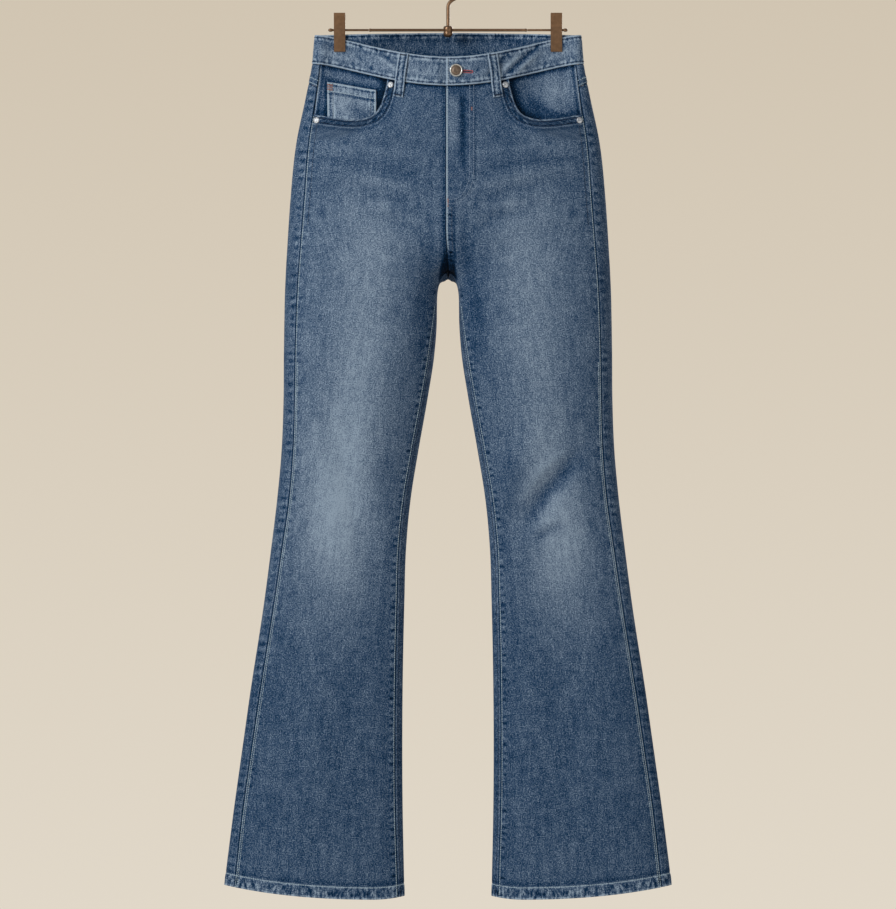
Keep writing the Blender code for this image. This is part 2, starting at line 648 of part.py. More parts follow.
def back_pocket(side):
    columns, rows = 9, 7
    s, t = np.meshgrid(np.linspace(0, 1, columns), np.linspace(0, 1, rows))
    width = PATCH_TOP_WIDTH + (PATCH_FOOT_WIDTH - PATCH_TOP_WIDTH) * t
    x = PATCH_X + (s - 0.5) * width
    top = PATCH_INNER_DROP + (PATCH_OUTER_DROP - PATCH_INNER_DROP) * s
    height = PATCH_SIDE_HEIGHT + PATCH_POINT * (1 - np.abs(2 * s - 1))
    drops = top + height * t
    turns = turn_at(x, drops, "back")
    cloth(f"back_pocket_{side}", side, turns, drops, SEAM_GAP + CLOTH, SEAM_GAP, DENIM)


# The hem's turned-up layers, inside the leg
def hem(side):
    rows = np.array([HEM_DROP - HEM_HEIGHT, HEM_DROP - 0.4])
    turns = [
        np.concatenate([front_turn(side, FRONT_COLUMNS, drop), back_turn(side, BACK_COLUMNS, drop)])
        for drop in rows
    ]
    turns = np.array(turns)
    drops = np.broadcast_to(rows[:, None], turns.shape)
    top = -(CLOTH + SEAM_GAP)
    cloth(f"hem_{side}", side, turns, drops, top, top - 1.4, DENIM, tube=True)


# A turned piece: its outline is spun round Z, and then Z is laid along an axis
def turned(name, profile, place, axis, look, steps=20):
    mesh = bpy.data.meshes.new(name)
    points = [(r * MM, 0, z * MM) for r, z in profile]
    edges = [(i, i + 1) for i in range(len(points) - 1)]
    if profile[0] == profile[-1]:
        points.pop()
        edges[-1] = (len(points) - 1, 0)
    mesh.from_pydata(points, edges, [])
    made = add(name, mesh)
    spin = made.modifiers.new("spin", "SCREW")
    spin.steps = spin.render_steps = steps
    spin.use_merge_vertices = True
    spin.merge_threshold = 0.00005
    spin.use_smooth_shade = True
    made.matrix_world = (
        Matrix.Translation(Vector(place) * MM) @ Vector(axis).to_track_quat("Z", "X").to_matrix().to_4x4()
    )
    return finish(made, look)


def on_surface(side, x, drop, height):
    turn = turn_at(x, drop, "front")
    place = lifted(side, turn, np.asarray(drop, float), height)
    return place, outward(side, turn, np.asarray(drop, float))


def button_place():
    return on_surface("l", BUTTON_X, BUTTON_DROP, BAND_PROUD)


def button():
    place, axis = button_place()
    foot = -BAND_CLOTH
    profile = [
        (0, 4.6),
        (3.0, 4.5),
        (5.6, 4.0),
        (6.6, 3.5),
        (7.2, 3.9),
        (7.9, 3.8),
        (BUTTON_RADIUS, 3.0),
        (BUTTON_RADIUS - 0.4, 2.0),
        (SHANK_RADIUS + 2.0, 1.2),
        (SHANK_RADIUS, 0.8),
        (SHANK_RADIUS, foot),
        (0, foot),
    ]
    turned("button", profile, place, axis, BUTTON_METAL)


def rivet(side, name, spot):
    place, axis = on_surface(side, spot.x, spot.drop, SEAM_GAP)
    profile = [
        (0, RIVET_HEIGHT),
        (1.3, RIVET_HEIGHT),
        (1.7, RIVET_HEIGHT - 0.5),
        (2.4, RIVET_HEIGHT - 0.4),
        (3.5, RIVET_HEIGHT - 0.7),
        (RIVET_RADIUS, 0.4),
        (RIVET_RADIUS, 0),
        (0, 0),
    ]
    turned(f"rivet_{name}_{side}", profile, place, axis, RIVET_METAL, steps=16)


# The hanger's pieces. Its rod telescopes: a sleeve in the middle and a thinner rod out of each end.
ROD_Z = -HOOK_TO_WAIST + ROD_TO_WAIST
WAIST_Z = -HOOK_TO_WAIST


def hanger_rod():
    half = SLEEVE_HALF
    sleeve = [(0, half), (SLEEVE_RADIUS, half), (SLEEVE_RADIUS, -half), (0, -half)]
    turned("hanger_sleeve", sleeve, (0, 0, ROD_Z), (1, 0, 0), HANGER_METAL, 12)
    for side, sign in SIDES.items():
        start, end = SLEEVE_HALF + SEAM_GAP, ROD_END_X
        profile = [
            (0, end + FINIAL_LENGTH * 0.6),
            (FINIAL_RADIUS * 0.7, end + FINIAL_LENGTH * 0.45),
            (FINIAL_RADIUS, end),
            (FINIAL_RADIUS, end - FINIAL_LENGTH * 0.4),
            (ROD_RADIUS, end - FINIAL_LENGTH * 0.6),
            (ROD_RADIUS, start),
            (0, start),
        ]
        turned(f"hanger_rod_{side}", profile, (0, 0, ROD_Z), (sign, 0, 0), HANGER_METAL, 12)


# The collar holds the hook's stem on the sleeve, which passes through it
def hook_collar():
    above, below = COLLAR_ABOVE_ROD, -COLLAR_BELOW_ROD
    profile = [
        (0, above),
        (COLLAR_RADIUS - 1.5, above),
        (COLLAR_RADIUS, above - 1.5),
        (COLLAR_RADIUS, below + 4),
        (COLLAR_RADIUS - 1.8, below + 1.2),
        (0, below),
    ]
    collar = turned("hook_collar", profile, (0, 0, ROD_Z), (0, 0, 1), HANGER_METAL, 16)
    bore = SLEEVE_RADIUS + SEAM_GAP
    shape = bmesh.new()
    bmesh.ops.create_cone(
        shape, cap_ends=True, segments=16, radius1=bore * MM, radius2=bore * MM, depth=3 * COLLAR_RADIUS * MM
    )
    mesh = bpy.data.meshes.new("cutter_collar_bore")
    shape.to_mesh(mesh)
    shape.free()
    cutter = add(mesh.name, mesh, "cutters")
    cutter.matrix_world = Matrix.Translation((0, 0, ROD_Z * MM)) @ Matrix.Rotation(math.pi / 2, 4, "Y")
    cutter.hide_render = True
    cutter.display_type = "WIRE"
    cut = collar.modifiers.new("bore", "BOOLEAN")
    cut.object = cutter
    cut.operation = "DIFFERENCE"
    cut.solver = "EXACT"


# The wire runs up the stem, leans over to the wearer's left and turns over the rail
def hook_line():
    centre_z = -HOOK_RADIUS + HOOK_WIRE / 2
    stem_top = ROD_Z + HOOK_STEM_TOP_ABOVE_ROD
    start_angle, end_angle = -52, 205
    arc_start = Vector((
        HOOK_RADIUS * math.cos(math.radians(start_angle)),
        centre_z + HOOK_RADIUS * math.sin(math.radians(start_angle)),
    ))
    line = [Vector((0, z)) for z in np.linspace(ROD_Z + COLLAR_ABOVE_ROD + SEAM_GAP, stem_top, 3)]
    reach = (arc_start - line[-1]).length * 0.45
    lean = Vector((-math.sin(math.radians(start_angle)), math.cos(math.radians(start_angle))))
    controls = (line[-1], line[-1] + Vector((0, reach)), arc_start - lean * reach, arc_start)
    for t in np.linspace(0, 1, 9)[1:-1]:
        weights = ((1 - t) ** 3, 3 * t * (1 - t) ** 2, 3 * t * t * (1 - t), t**3)
        line.append(sum((c * w for c, w in zip(controls, weights)), Vector((0, 0))))
    for angle in np.linspace(math.radians(start_angle), math.radians(end_angle), 27):
        line.append(Vector((HOOK_RADIUS * math.cos(angle), centre_z + HOOK_RADIUS * math.sin(angle))))
    return line


def hook():
    curve = bpy.data.curves.new("hook", "CURVE")
    curve.dimensions = "3D"
    curve.bevel_depth = HOOK_WIRE / 2 * MM
    curve.bevel_resolution = 2
    curve.use_fill_caps = True
    line = hook_line()
    spline = curve.splines.new("POLY")
    spline.points.add(len(line) - 1)
    for point, place in zip(spline.points, line):
        point.co = (place.x * MM, 0, place.y * MM, 1)
    finish(add("hook", curve), HANGER_METAL)


# A clip's plate: an upright jaw against the band, and a handle that leans out above the rod
def clip_plate(side, face):
    sign = -1 if face == "front" else 1
    jaw = GRIP_HALF_DEPTH + BAND_PROUD + SEAM_GAP
    inner = [
        (jaw, -CLIP_BELOW_WAIST),
        (jaw, ROD_TO_WAIST + 4),
        (jaw + 1.2, ROD_TO_WAIST + 8),
        (CLIP_HANDLE_DEPTH, CLIP_ABOVE_WAIST),
    ]
    outline = inner + [(y + CLIP_PLATE, z) for y, z in reversed(inner)]
    curve = bpy.data.curves.new(f"clip_{face}_{side}", "CURVE")
    curve.dimensions = "2D"
    curve.fill_mode = "BOTH"
    curve.extrude = CLIP_WIDTH / 2 * MM
    spline = curve.splines.new("POLY")
    spline.points.add(len(outline) - 1)
    spline.use_cyclic_u = True
    for point, (y, z) in zip(spline.points, outline):
        point.co = (sign * y * MM, z * MM, 0, 1)
    made = add(curve.name, curve)
    upright = Matrix(((0, 0, 1, 0), (1, 0, 0, 0), (0, 1, 0, 0), (0, 0, 0, 1)))
    made.matrix_world = Matrix.Translation((SIDES[side] * CLIP_X * MM, 0, WAIST_Z * MM)) @ upright
    finish(made, HANGER_METAL)


# The spring's barrel fills the space between the plates, round the rod
def clip_barrel(side):
    outer, bore = GRIP_HALF_DEPTH + BAND_PROUD, ROD_RADIUS + SEAM_GAP
    half = CLIP_WIDTH / 2 - 1.5
    profile = [(outer, half), (outer, -half), (bore, -half), (bore, half), (outer, half)]
    place = (SIDES[side] * CLIP_X, 0, ROD_Z)
    turned(f"clip_barrel_{side}", profile, place, (1, 0, 0), HANGER_METAL, 14)


def main():
    for old in list(bpy.data.objects):
        bpy.data.objects.remove(old)
    for side in SIDES:
        front_panel(side)
        back_panel(side)
        yoke(side)
        band = waistband(side)
        if side == "l":
            cut_buttonhole(band)
        pocket_inside(side)
        back_pocket(side)
        hem(side)
        for name, spot in RIVETS.items():
            rivet(side, name, spot)
        for face in ("front", "back"):
            clip_plate(side, face)
        clip_barrel(side)
    coin_pocket()
    fly()
    for loop in LOOPS:
        belt_loop(loop)
    button()
    hanger_rod()
    hook_collar()
    hook()


main()
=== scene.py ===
import math

import bmesh
import bpy
import numpy as np
from mathutils import Matrix, Vector


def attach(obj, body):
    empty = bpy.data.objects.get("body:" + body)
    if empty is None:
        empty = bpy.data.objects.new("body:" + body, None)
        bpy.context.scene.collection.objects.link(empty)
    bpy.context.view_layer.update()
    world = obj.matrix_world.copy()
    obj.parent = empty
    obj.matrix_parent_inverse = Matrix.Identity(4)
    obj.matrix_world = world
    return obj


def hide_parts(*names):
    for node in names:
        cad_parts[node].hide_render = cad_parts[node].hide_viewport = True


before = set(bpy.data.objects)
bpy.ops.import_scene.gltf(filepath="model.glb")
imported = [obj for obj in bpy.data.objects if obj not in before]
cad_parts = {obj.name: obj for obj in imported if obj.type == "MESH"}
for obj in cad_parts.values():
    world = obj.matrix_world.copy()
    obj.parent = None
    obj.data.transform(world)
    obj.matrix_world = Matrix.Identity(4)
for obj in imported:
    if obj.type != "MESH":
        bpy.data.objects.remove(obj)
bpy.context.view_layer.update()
print("frame loaded:", len(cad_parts), "nodes")

mm = 0.001
sides = {"r": -1.0, "l": 1.0}  # the wearer's right is at -X

# Sizes of the hung garment in millimetres, as the solids have them. A drop is measured down from the waist.
garment = {
    "hookToWaist": 90.0,
    "bandHeight": 38.0,
    "crotchDrop": 312.0,
    "hemDrop": 1132.0,
    "hemHeight": 16.0,
    "frontDip": 29.5,
    "backRise": 4.0,
    "dipEndDrop": 205.0,
    "mergeHeight": 80.0,
    "forkWidth": 0.36,
    "thighDrops": (175.0, 440.0),
    "archHeight": 35.0,
    "backSag": 14.0,
    "sagReach": (28.0, 25.0, 45.0),
    "clipX": 142.0,
    "clipBelowWaist": 22.0,
    "gripHalfDepth": 2.75,
    "gripHalfWidth": 8.5,
    "gripEndDrop": 125.0,
    "gripSpreadIn": 0.30,
    "gripSpreadOut": 0.115,
    "cloth": 1.2,
    "seamGap": 0.3,
}

crotchDrop, hemDrop, hemHeight = garment["crotchDrop"], garment["hemDrop"], garment["hemHeight"]
bandHeight, clothThick, seamGap = garment["bandHeight"], garment["cloth"], garment["seamGap"]
bandFoot, panelTop = bandHeight - seamGap / 2, bandHeight + seamGap / 2  # each side of the waist's seam

sectionColumns = ("drop", "outer", "inner", "front", "back", "outseam", "inseam")
sectionRows = [
    (0, 174.5, 14.0, 34, 25, 10.0, 0.0),
    (38, 178.0, 14.0, 37, 30, 10.5, 0.0),
    (85, 187.0, 14.0, 41, 40, 13.0, 0.0),
    (137, 198.0, 14.0, 45, 51, 16.0, 0.0),
    (216, 206.5, 14.0, 49, 62, 18.0, 0.0),
    (268, 210.0, 14.0, 51, 63, 17.5, 0.0),
    (321, 213.0, 14.0, 51, 58, 16.5, 0.5),
    (412, 215.0, 17.0, 47, 51, 15.0, 7.0),
    (478, 215.5, 27.0, 43, 46, 14.5, 8.0),
    (543, 218.0, 38.5, 38, 40, 15.0, 8.5),
    (609, 224.0, 49.0, 33, 34, 15.5, 9.0),
    (675, 232.0, 55.0, 30, 31, 14.0, 9.5),
    (740, 240.5, 57.0, 28, 29, 13.0, 9.5),
    (871, 260.5, 59.5, 27, 29, 12.5, 9.5),
    (1002, 277.5, 59.5, 28, 30, 11.5, 9.5),
    (1132, 293.0, 57.0, 30, 32, 13.0, 8.5),
]
sections = {name: np.array([row[i] for row in sectionRows], float) for i, name in enumerate(sectionColumns)}

# The large folds. Angle is from vertical, leaning outwards as it runs down. A trough's height is below zero.
foldColumns = ("side", "face", "x", "drop", "angle", "length", "width", "height")
foldRows = [
    ("r", "front", 106, 30, -62, 44, 13, 2.4),
    ("r", "front", 82, 20, -58, 38, 13, -2.0),
    ("l", "front", 98, 30, -55, 46, 13, 3.0),
    ("l", "front", 70, 24, -50, 38, 13, -2.6),
    ("r", "front", 60, 244, -74, 66, 17, -1.8),
    ("l", "front", 66, 236, -76, 70, 17, -1.8),
    ("r", "front", 120, 204, -80, 64, 16, -1.4),
    ("l", "front", 118, 196, -82, 64, 16, -1.4),
    ("l", "front", 122, 600, -38, 64, 20, -5.5),
    ("l", "front", 92, 556, -30, 56, 22, 3.0),
    ("r", "front", 128, 590, -12, 90, 22, -3.0),
    ("r", "front", 90, 470, 10, 110, 28, 2.5),
    ("l", "front", 66, 470, 8, 100, 24, -3.0),
    ("r", "front", 170, 900, 6, 170, 28, 2.0),
    ("l", "front", 150, 930, 4, 180, 30, -2.0),
    ("r", "back", 96, 306, -70, 74, 18, -4.0),
    ("l", "back", 100, 300, -72, 74, 18, -4.0),
    ("r", "back", 78, 362, -54, 80, 20, -4.5),
    ("l", "back", 82, 354, -56, 80, 20, -4.5),
    ("r", "back", 128, 590, -66, 60, 18, -4.5),
    ("l", "back", 132, 580, -64, 60, 18, -4.5),
    ("r", "back", 136, 650, -70, 54, 18, -3.5),
    ("l", "back", 140, 642, -70, 54, 18, -3.5),
    ("l", "back", 160, 920, 8, 170, 30, 3.0),
    ("r", "back", 168, 900, 6, 170, 30, -3.0),
]
folds = [dict(zip(foldColumns, row)) for row in foldRows]

# Finer creases on the shell alone. Tone is how much paler or darker the cloth is painted along one: painted
# highlight on a ridge and painted shade in a trough.
creaseColumns = ("side", "face", "x", "drop", "angle", "length", "width", "bow", "height", "tone")
creaseRows = [
    ("r", "front", 150, 12, -78, 22, 3, 0, -0.5, -0.18),
    ("r", "front", 150, 24, -84, 24, 3.5, 0, 0.4, 0.12),
    ("r", "front", 112, 24, -62, 34, 3.6, 0, 1.0, 0.24),
    ("r", "front", 101, 29, -58, 32, 3, 0, -1.1, -0.38),
    ("r", "front", 86, 8, -64, 26, 2.8, 0, -0.9, -0.32),
    ("r", "front", 78, 18, -58, 24, 3.5, 0, 0.7, 0.14),
    ("r", "front", 40, 22, -70, 20, 4, 0, 0.4, 0.1),
    ("l", "front", 106, 20, -56, 36, 3.6, 2, 1.3, 0.3),
    ("l", "front", 92, 21, -54, 38, 3.2, 2, -1.5, -0.5),
    ("l", "front", 79, 20, -50, 30, 3.5, 2, 1.0, 0.26),
    ("l", "front", 69, 14, -48, 26, 2.8, 0, -1.0, -0.4),
    ("l", "front", 40, 18, -64, 22, 4, 0, -0.5, -0.16),
    ("l", "front", 118, 12, -66, 24, 3, 0, -0.6, -0.2),
    ("l", "front", 154, 18, -74, 22, 3.5, 0, 0.4, 0.12),
    ("r", "front", 84, 148, -84, 60, 6, 4, 0.5, 0.1),
    ("r", "front", 96, 172, -80, 66, 6, 4, -0.6, -0.1),
    ("r", "front", 80, 196, -76, 56, 6, 5, 0.7, 0.1),
    ("r", "front", 70, 216, -72, 50, 5, 6, -0.6, -0.08),
    ("r", "front", 66, 234, -70, 44, 5, 6, 0.8, 0.08),
    ("r", "front", 60, 250, -66, 42, 4.5, 6, -0.6, -0.08),
    ("r", "front", 70, 268, -62, 40, 6, 6, 0.6, 0.05),
    ("l", "front", 92, 142, -86, 60, 6, 4, 0.5, 0.1),
    ("l", "front", 100, 166, -82, 66, 6, 4, -0.6, -0.11),
    ("l", "front", 84, 186, -78, 60, 6, 5, 0.7, 0.11),
    ("l", "front", 78, 206, -74, 54, 5, 6, -0.6, -0.08),
    ("l", "front", 70, 224, -72, 46, 5, 6, 0.8, 0.08),
    ("l", "front", 64, 242, -68, 44, 4.5, 6, -0.6, -0.08),
    ("l", "front", 74, 260, -62, 42, 6, 6, 0.6, 0.05),
    ("l", "front", 36, 360, 10, 85, 9, 2, -1.2, -0.15),
    ("l", "front", 26, 286, 6, 46, 9, 3, -0.8, -0.1),
    ("r", "front", 30, 330, 6, 100, 9, 3, -0.9, -0.12),
    ("l", "front", 136, 592, -41, 50, 9.5, 8, -2.4, -0.36),
    ("l", "front", 158, 560, -36, 34, 9, 4, -1.2, -0.12),
    ("l", "front", 120, 574, -41, 46, 9, 8, 1.8, 0.14),
    ("l", "front", 128, 652, -58, 20, 4, 2, -1.3, -0.32),
    ("l", "front", 122, 640, -56, 18, 5, 2, 0.8, 0.08),
    ("l", "front", 116, 620, -30, 40, 10, 4, -0.8, -0.12),
    ("r", "front", 132, 590, -14, 60, 9, 4, -0.8, -0.05),
    ("r", "front", 112, 640, -60, 34, 5, 3, -0.5, -0.05),
    ("r", "back", 92, 306, -66, 54, 7, 6, -1.2, -0.08),
    ("l", "back", 96, 300, -68, 54, 7, 6, -1.2, -0.08),
    ("r", "back", 82, 328, -60, 58, 7, 6, 0.9, 0.07),
    ("l", "back", 86, 322, -62, 58, 7, 6, 0.9, 0.07),
    ("r", "back", 80, 350, -54, 60, 8, 6, -1.2, -0.08),
    ("l", "back", 84, 342, -56, 60, 8, 6, -1.2, -0.08),
    ("r", "back", 128, 586, -66, 50, 7, 5, -1.2, -0.08),
    ("l", "back", 132, 576, -64, 50, 7, 5, -1.2, -0.08),
    ("r", "back", 132, 614, -68, 46, 7, 5, 0.9, 0.06),
    ("l", "back", 136, 604, -66, 46, 7, 5, 0.9, 0.06),
    ("l", "facing", 126, 88, 58, 34, 6, 4, -0.9, -0.24),
    ("l", "facing", 112, 70, 40, 26, 6, 3, -0.5, -0.16),
    ("l", "facing", 140, 92, 70, 26, 5, 3, 0.6, 0.14),
    ("l", "facing", 150, 70, 60, 22, 5, 4, 0.5, 0.06),
    ("r", "facing", 120, 50, -80, 40, 5, 2, -0.4, -0.08),
]
creasesAndPaintedShade = [dict(zip(creaseColumns, row)) for row in creaseRows]

# Where the wash has left the cloth paler, and where it is darker. The darker streaks along the inner thighs
# are partly dye and partly painted shade.
fadeColumns = ("side", "face", "x", "drop", "angle", "length", "width", "amount")
fadeRows = [
    ("r", "front", 112, 400, 2, 160, 46, 0.31),
    ("l", "front", 112, 400, 2, 160, 44, 0.28),
    ("r", "front", 104, 262, 0, 60, 70, 0.11),
    ("l", "front", 104, 262, 0, 60, 70, 0.09),
    ("r", "front", 60, 180, 6, 60, 26, -0.06),
    ("l", "front", 66, 130, 6, 50, 22, -0.08),
    ("r", "front", 28, 400, -4, 90, 14, -0.08),
    ("l", "front", 34, 380, -6, 130, 16, -0.08),
    ("r", "front", 142, 615, 3, 130, 46, 0.5),
    ("l", "front", 148, 662, 6, 110, 42, 0.38),
    ("l", "front", 122, 545, -6, 60, 30, 0.1),
    ("r", "front", 96, 560, -4, 110, 22, -0.06),
    ("l", "front", 92, 540, -6, 110, 22, -0.10),
    ("r", "front", 190, 430, 0, 260, 22, 0.09),
    ("l", "front", 192, 360, 0, 120, 20, 0.05),
    ("l", "front", 196, 640, 4, 100, 20, -0.05),
    ("r", "back", 112, 390, 3, 150, 48, 0.18),
    ("l", "back", 112, 390, 3, 150, 48, 0.18),
    ("r", "back", 100, 196, 0, 70, 70, 0.12),
    ("l", "back", 100, 196, 0, 70, 70, 0.12),
    ("r", "back", 138, 640, 2, 90, 46, 0.12),
    ("l", "back", 138, 640, 2, 90, 46, 0.12),
]
fadesAndShade = [dict(zip(fadeColumns, row)) for row in fadeRows]
wash = {"upper": 0.44, "lower": 0.37, "lowerFrom": 690.0, "lowerTo": 830.0, "hemFade": 0.03}


# A smooth curve through a table's rows
def through(rows, places, at):
    rows, places = np.asarray(rows, float), np.asarray(places, float)
    slopes = np.gradient(rows, places)
    at = np.clip(at, places[0], places[-1])
    low = np.clip(np.searchsorted(places, at, side="right") - 1, 0, len(places) - 2)
    span = places[low + 1] - places[low]
    t = (at - places[low]) / span
    first, last = slopes[low] * span, slopes[low + 1] * span
    ends = rows[low] * (1 + 2 * t) * (1 - t) ** 2 + rows[low + 1] * t**2 * (3 - 2 * t)
    return ends + first * t * (1 - t) ** 2 + last * t**2 * (t - 1)


def section(column, drop):
    return through(sections[column], sections["drop"], drop)


def ease(value, start, end):
    t = np.clip((value - start) / (end - start), 0, 1)
    return t * t * (3 - 2 * t)


# 1 where a value is near the given one, falling softly to 0 over the width
def softLine(value, at, width):
    return np.exp(-(((value - at) / width) ** 2))


# The same with a flat middle and steeper sides
def softBand(value, at, width):
    return np.exp(-(((value - at) / width) ** 4))


def softSpot(x, drop, at, size):
    return np.exp(-(((x - at[0]) / size[0]) ** 2) - ((drop - at[1]) / size[1]) ** 2)


def fork(turn):
    return softLine(np.sin(math.pi * turn), 0, garment["forkWidth"])


def merged(turn, drop):
    s = np.clip((drop - crotchDrop) / garment["mergeHeight"] + 1, 0, 1)
    near = fork(turn)
    return near * (1 - np.sqrt(1 - s * s)) + (1 - near) * ease(drop, *garment["thighDrops"])


def innerFold(drop):
    s = np.clip((drop - crotchDrop) / garment["archHeight"], 0, 1)
    return section("inner", drop) * np.sqrt(s * (2 - s))


def ringX(turn, drop):
    u, share = np.sin(math.pi * turn), merged(turn, drop)
    spread = ease(drop, crotchDrop, garment["thighDrops"][1])
    apart = innerFold(drop) * (1 - u * u) * (spread + (1 - spread) * fork(turn))
    return section("outer", drop) * ((1 - share) * u + share * u * u) + apart


def grip(x, drop):
    off = np.maximum(np.abs(x - garment["clipX"]) - garment["gripHalfWidth"], 0) / section("outer", drop)
    spread = np.where(x < garment["clipX"], garment["gripSpreadIn"], garment["gripSpreadOut"])
    fade = 1 - ease(drop, garment["clipBelowWaist"] + 3, garment["gripEndDrop"])
    return fade * softLine(off, 0, spread)


# A soft streak: 1 along its line and 0 away from it
def streak(mark, x, drop):
    lean = math.radians(mark["angle"])
    right, down = x - mark["x"], drop - mark["drop"]
    along = (right * math.sin(lean) + down * math.cos(lean)) / mark["length"]
    across = right * math.cos(lean) - down * math.sin(lean)
    across = (across - mark.get("bow", 0) * along * along) / mark["width"]
    return np.exp(-along * along - across * across)


def total(marks, column, side, face, x, drop):
    height = np.zeros(np.broadcast(x, drop).shape)
    for mark in marks:
        if mark["side"] == side and mark["face"] == face:
            height += mark[column] * streak(mark, x, drop)
    return height


def dip(x, drop, front):
    share = np.clip(x / section("outer", drop), -1, 1)
    hollow = (1 - share * share) ** 1.7 * (1 - ease(drop, bandHeight, garment["dipEndDrop"]))
    return np.where(front, garment["frontDip"], -garment["backRise"]) * hollow


def hemLift(x, drop):
    inner, outer = innerFold(drop), section("outer", drop)
    share = np.clip((x - inner) / (outer - inner), 0, 1)
    rise = 19.0 * share**2.6 + 4.6 * np.clip(1 - share / 0.18, 0, 1) ** 2
    return rise * ease(drop, 880.0, hemDrop)


# Points of the cloth's outer surface. Turn is 0 at the centre front or inseam, 0.5 at the side and 1 behind.
def surface(side, turn, drop):
    turn, drop = np.broadcast_arrays(np.asarray(turn, float), np.asarray(drop, float))
    above = drop < crotchDrop
    mirrored = above & ((turn < 0) | (turn > 1))
    turn = np.where(above & (turn < 0), -turn, turn)
    turn = np.where(above & (turn > 1), 2 - turn, turn)
    turn = np.where(~above & (turn < 0), turn + 1, turn)
    turn = np.where(~above & (turn > 1), turn - 1, turn)
    front = turn < 0.5
    depth = np.where(front, section("front", drop), section("back", drop))
    share = merged(turn, drop)
    x = ringX(turn, drop)
    y = -depth * ((1 - share) * np.cos(math.pi * turn) + share * np.sin(2 * math.pi * turn))
    facing = np.clip(np.abs(y) / depth / 0.4, 0, 1)
    localX = np.where(mirrored, -x, x)
    other = {"r": "l", "l": "r"}[side]
    raised = {}
    for s in (side, other):
        for f in ("front", "back"):
            if s == side or mirrored.any():
                raised[s, f] = total(folds, "height", s, f, x, drop)
            else:
                raised[s, f] = 0.0
    frontFolds = np.where(mirrored, raised[other, "front"], raised[side, "front"])
    backFolds = np.where(mirrored, raised[other, "back"], raised[side, "back"])
    outwards = np.where(front, frontFolds, backFolds) * facing * facing * (3 - 2 * facing)
    y = y + np.where(front, -outwards, outwards)
    pinch = grip(x, drop)
    y = y * (1 - pinch) + garment["gripHalfDepth"] * pinch * np.tanh(y / 2)
    z = -(garment["hookToWaist"] + drop) - dip(x, drop, front) + hemLift(x, drop)
    reach = garment["sagReach"]
    near = softSpot(x, drop, (0, crotchDrop), (reach[0], reach[2]))
    z = z - garment["backSag"] * near * ease(y, 0.0, reach[1])
    return np.stack([sides[side] * localX, y, z], axis=-1)


def outward(side, turn, drop):
    step, rise = 0.002, 1.0
    across = surface(side, turn + step, drop) - surface(side, turn - step, drop)
    down = surface(side, turn, drop + rise) - surface(side, turn, drop - rise)
    normal = -sides[side] * np.cross(across, down)
    return normal / np.maximum(np.linalg.norm(normal, axis=-1, keepdims=True), 1e-9)


# Points a height above the surface, and the outward directions there
def lifted(side, turn, drop, height):
    normal = outward(side, turn, drop)
    return surface(side, turn, drop) + normal * np.asarray(height)[..., None], normal


# How many millimetres a whole turn is here
def turnSpeed(side, turn, drop):
    step = 0.001
    ahead, behind = surface(side, turn + step, drop), surface(side, turn - step, drop)
    return np.linalg.norm(ahead - behind, axis=-1) / (2 * step)


def turnAt(x, drop, face):
    x, drop = np.broadcast_arrays(np.asarray(x, float), np.asarray(drop, float))
    low, high = np.zeros(x.shape), np.full(x.shape, 0.5)
    for _ in range(30):
        middle = (low + high) / 2
        inside = ringX(middle, drop) < np.abs(x)
        low, high = np.where(inside, middle, low), np.where(inside, high, middle)
    turn = (low + high) / 2
    if face == "back":
        return np.where(x < 0, 1 + turn, 1 - turn)
    return np.where(x < 0, -turn, turn)


def outseam(drop):
    return turnAt(section("outer", drop) - section("outseam", drop), drop, "front")


fly = {
    "shift": 2.6,
    "seatLap": 1.5,
    "width": 36.0,
    "endDrop": 221.0,
    "raised": 0.8,
    "underlap": 30.0,
    "zipThickness": 1.3,
    "lineTone": 0.85,
    "hollowShadeTone": 0.42,
    "hollowX": 19.5,
    "rowX": 33.5,
    "turnDrop": 176.0,
}


# How far past the centre a seam lies: the front's to the wearer's right and the back's to the left
def seamLap(face, drop):
    lap, length = (fly["shift"], 60) if face == "front" else (fly["seatLap"], 9)
    return lap * (1 - ease(drop, crotchDrop - length, crotchDrop))


def inseam(side, drop):
    lap = -sides[side] * seamLap("front", drop)
    x = np.where(drop < crotchDrop, lap, innerFold(drop) + section("inseam", drop))
    return turnAt(x, drop, "front")


# Each row of a panel reads the seams' turns from here, so they are worked out once for each drop.
def panelEnds(side, face, drops):
    levels, where = np.unique(np.round(drops, 3), return_inverse=True)
    out, inn = outseam(levels), inseam(side, levels)
    gap = seamGap / 2
    outStep, inStep = gap / turnSpeed(side, out, levels), gap / turnSpeed(side, inn, levels)
    if face == "front":
        start, end = inn + inStep, out - outStep
    else:
        start = out + outStep
        lap = -sides[side] * seamLap("back", levels) / turnSpeed(side, np.ones(len(levels)), levels)
        end = 1 + np.where(levels < crotchDrop, lap, inn) - inStep
    return start[where].reshape(np.shape(drops)), end[where].reshape(np.shape(drops))


# The centre seams stay closed, and the legs stay apart
def clearOfCentre(side, face, drops):
    sign = -sides[side] if face == "front" else sides[side]
    return np.where(drops > crotchDrop - 12, sign * seamLap(face, drops) + seamGap / 2, -np.inf)


# An uneven ripple along a seam, of about the given pitch
def ripple(along, pitch, seed):
    wander = 1.1 * np.sin(along * 2 * math.pi / (pitch * 4.3) + seed)
    wander = wander + 0.8 * np.sin(along / pitch / 1.27 + seed * 2.1)
    size = 0.65 + 0.35 * np.sin(along / pitch * 0.77 + seed * 3.7)
    return np.sin(along * 2 * math.pi / pitch + wander) * size


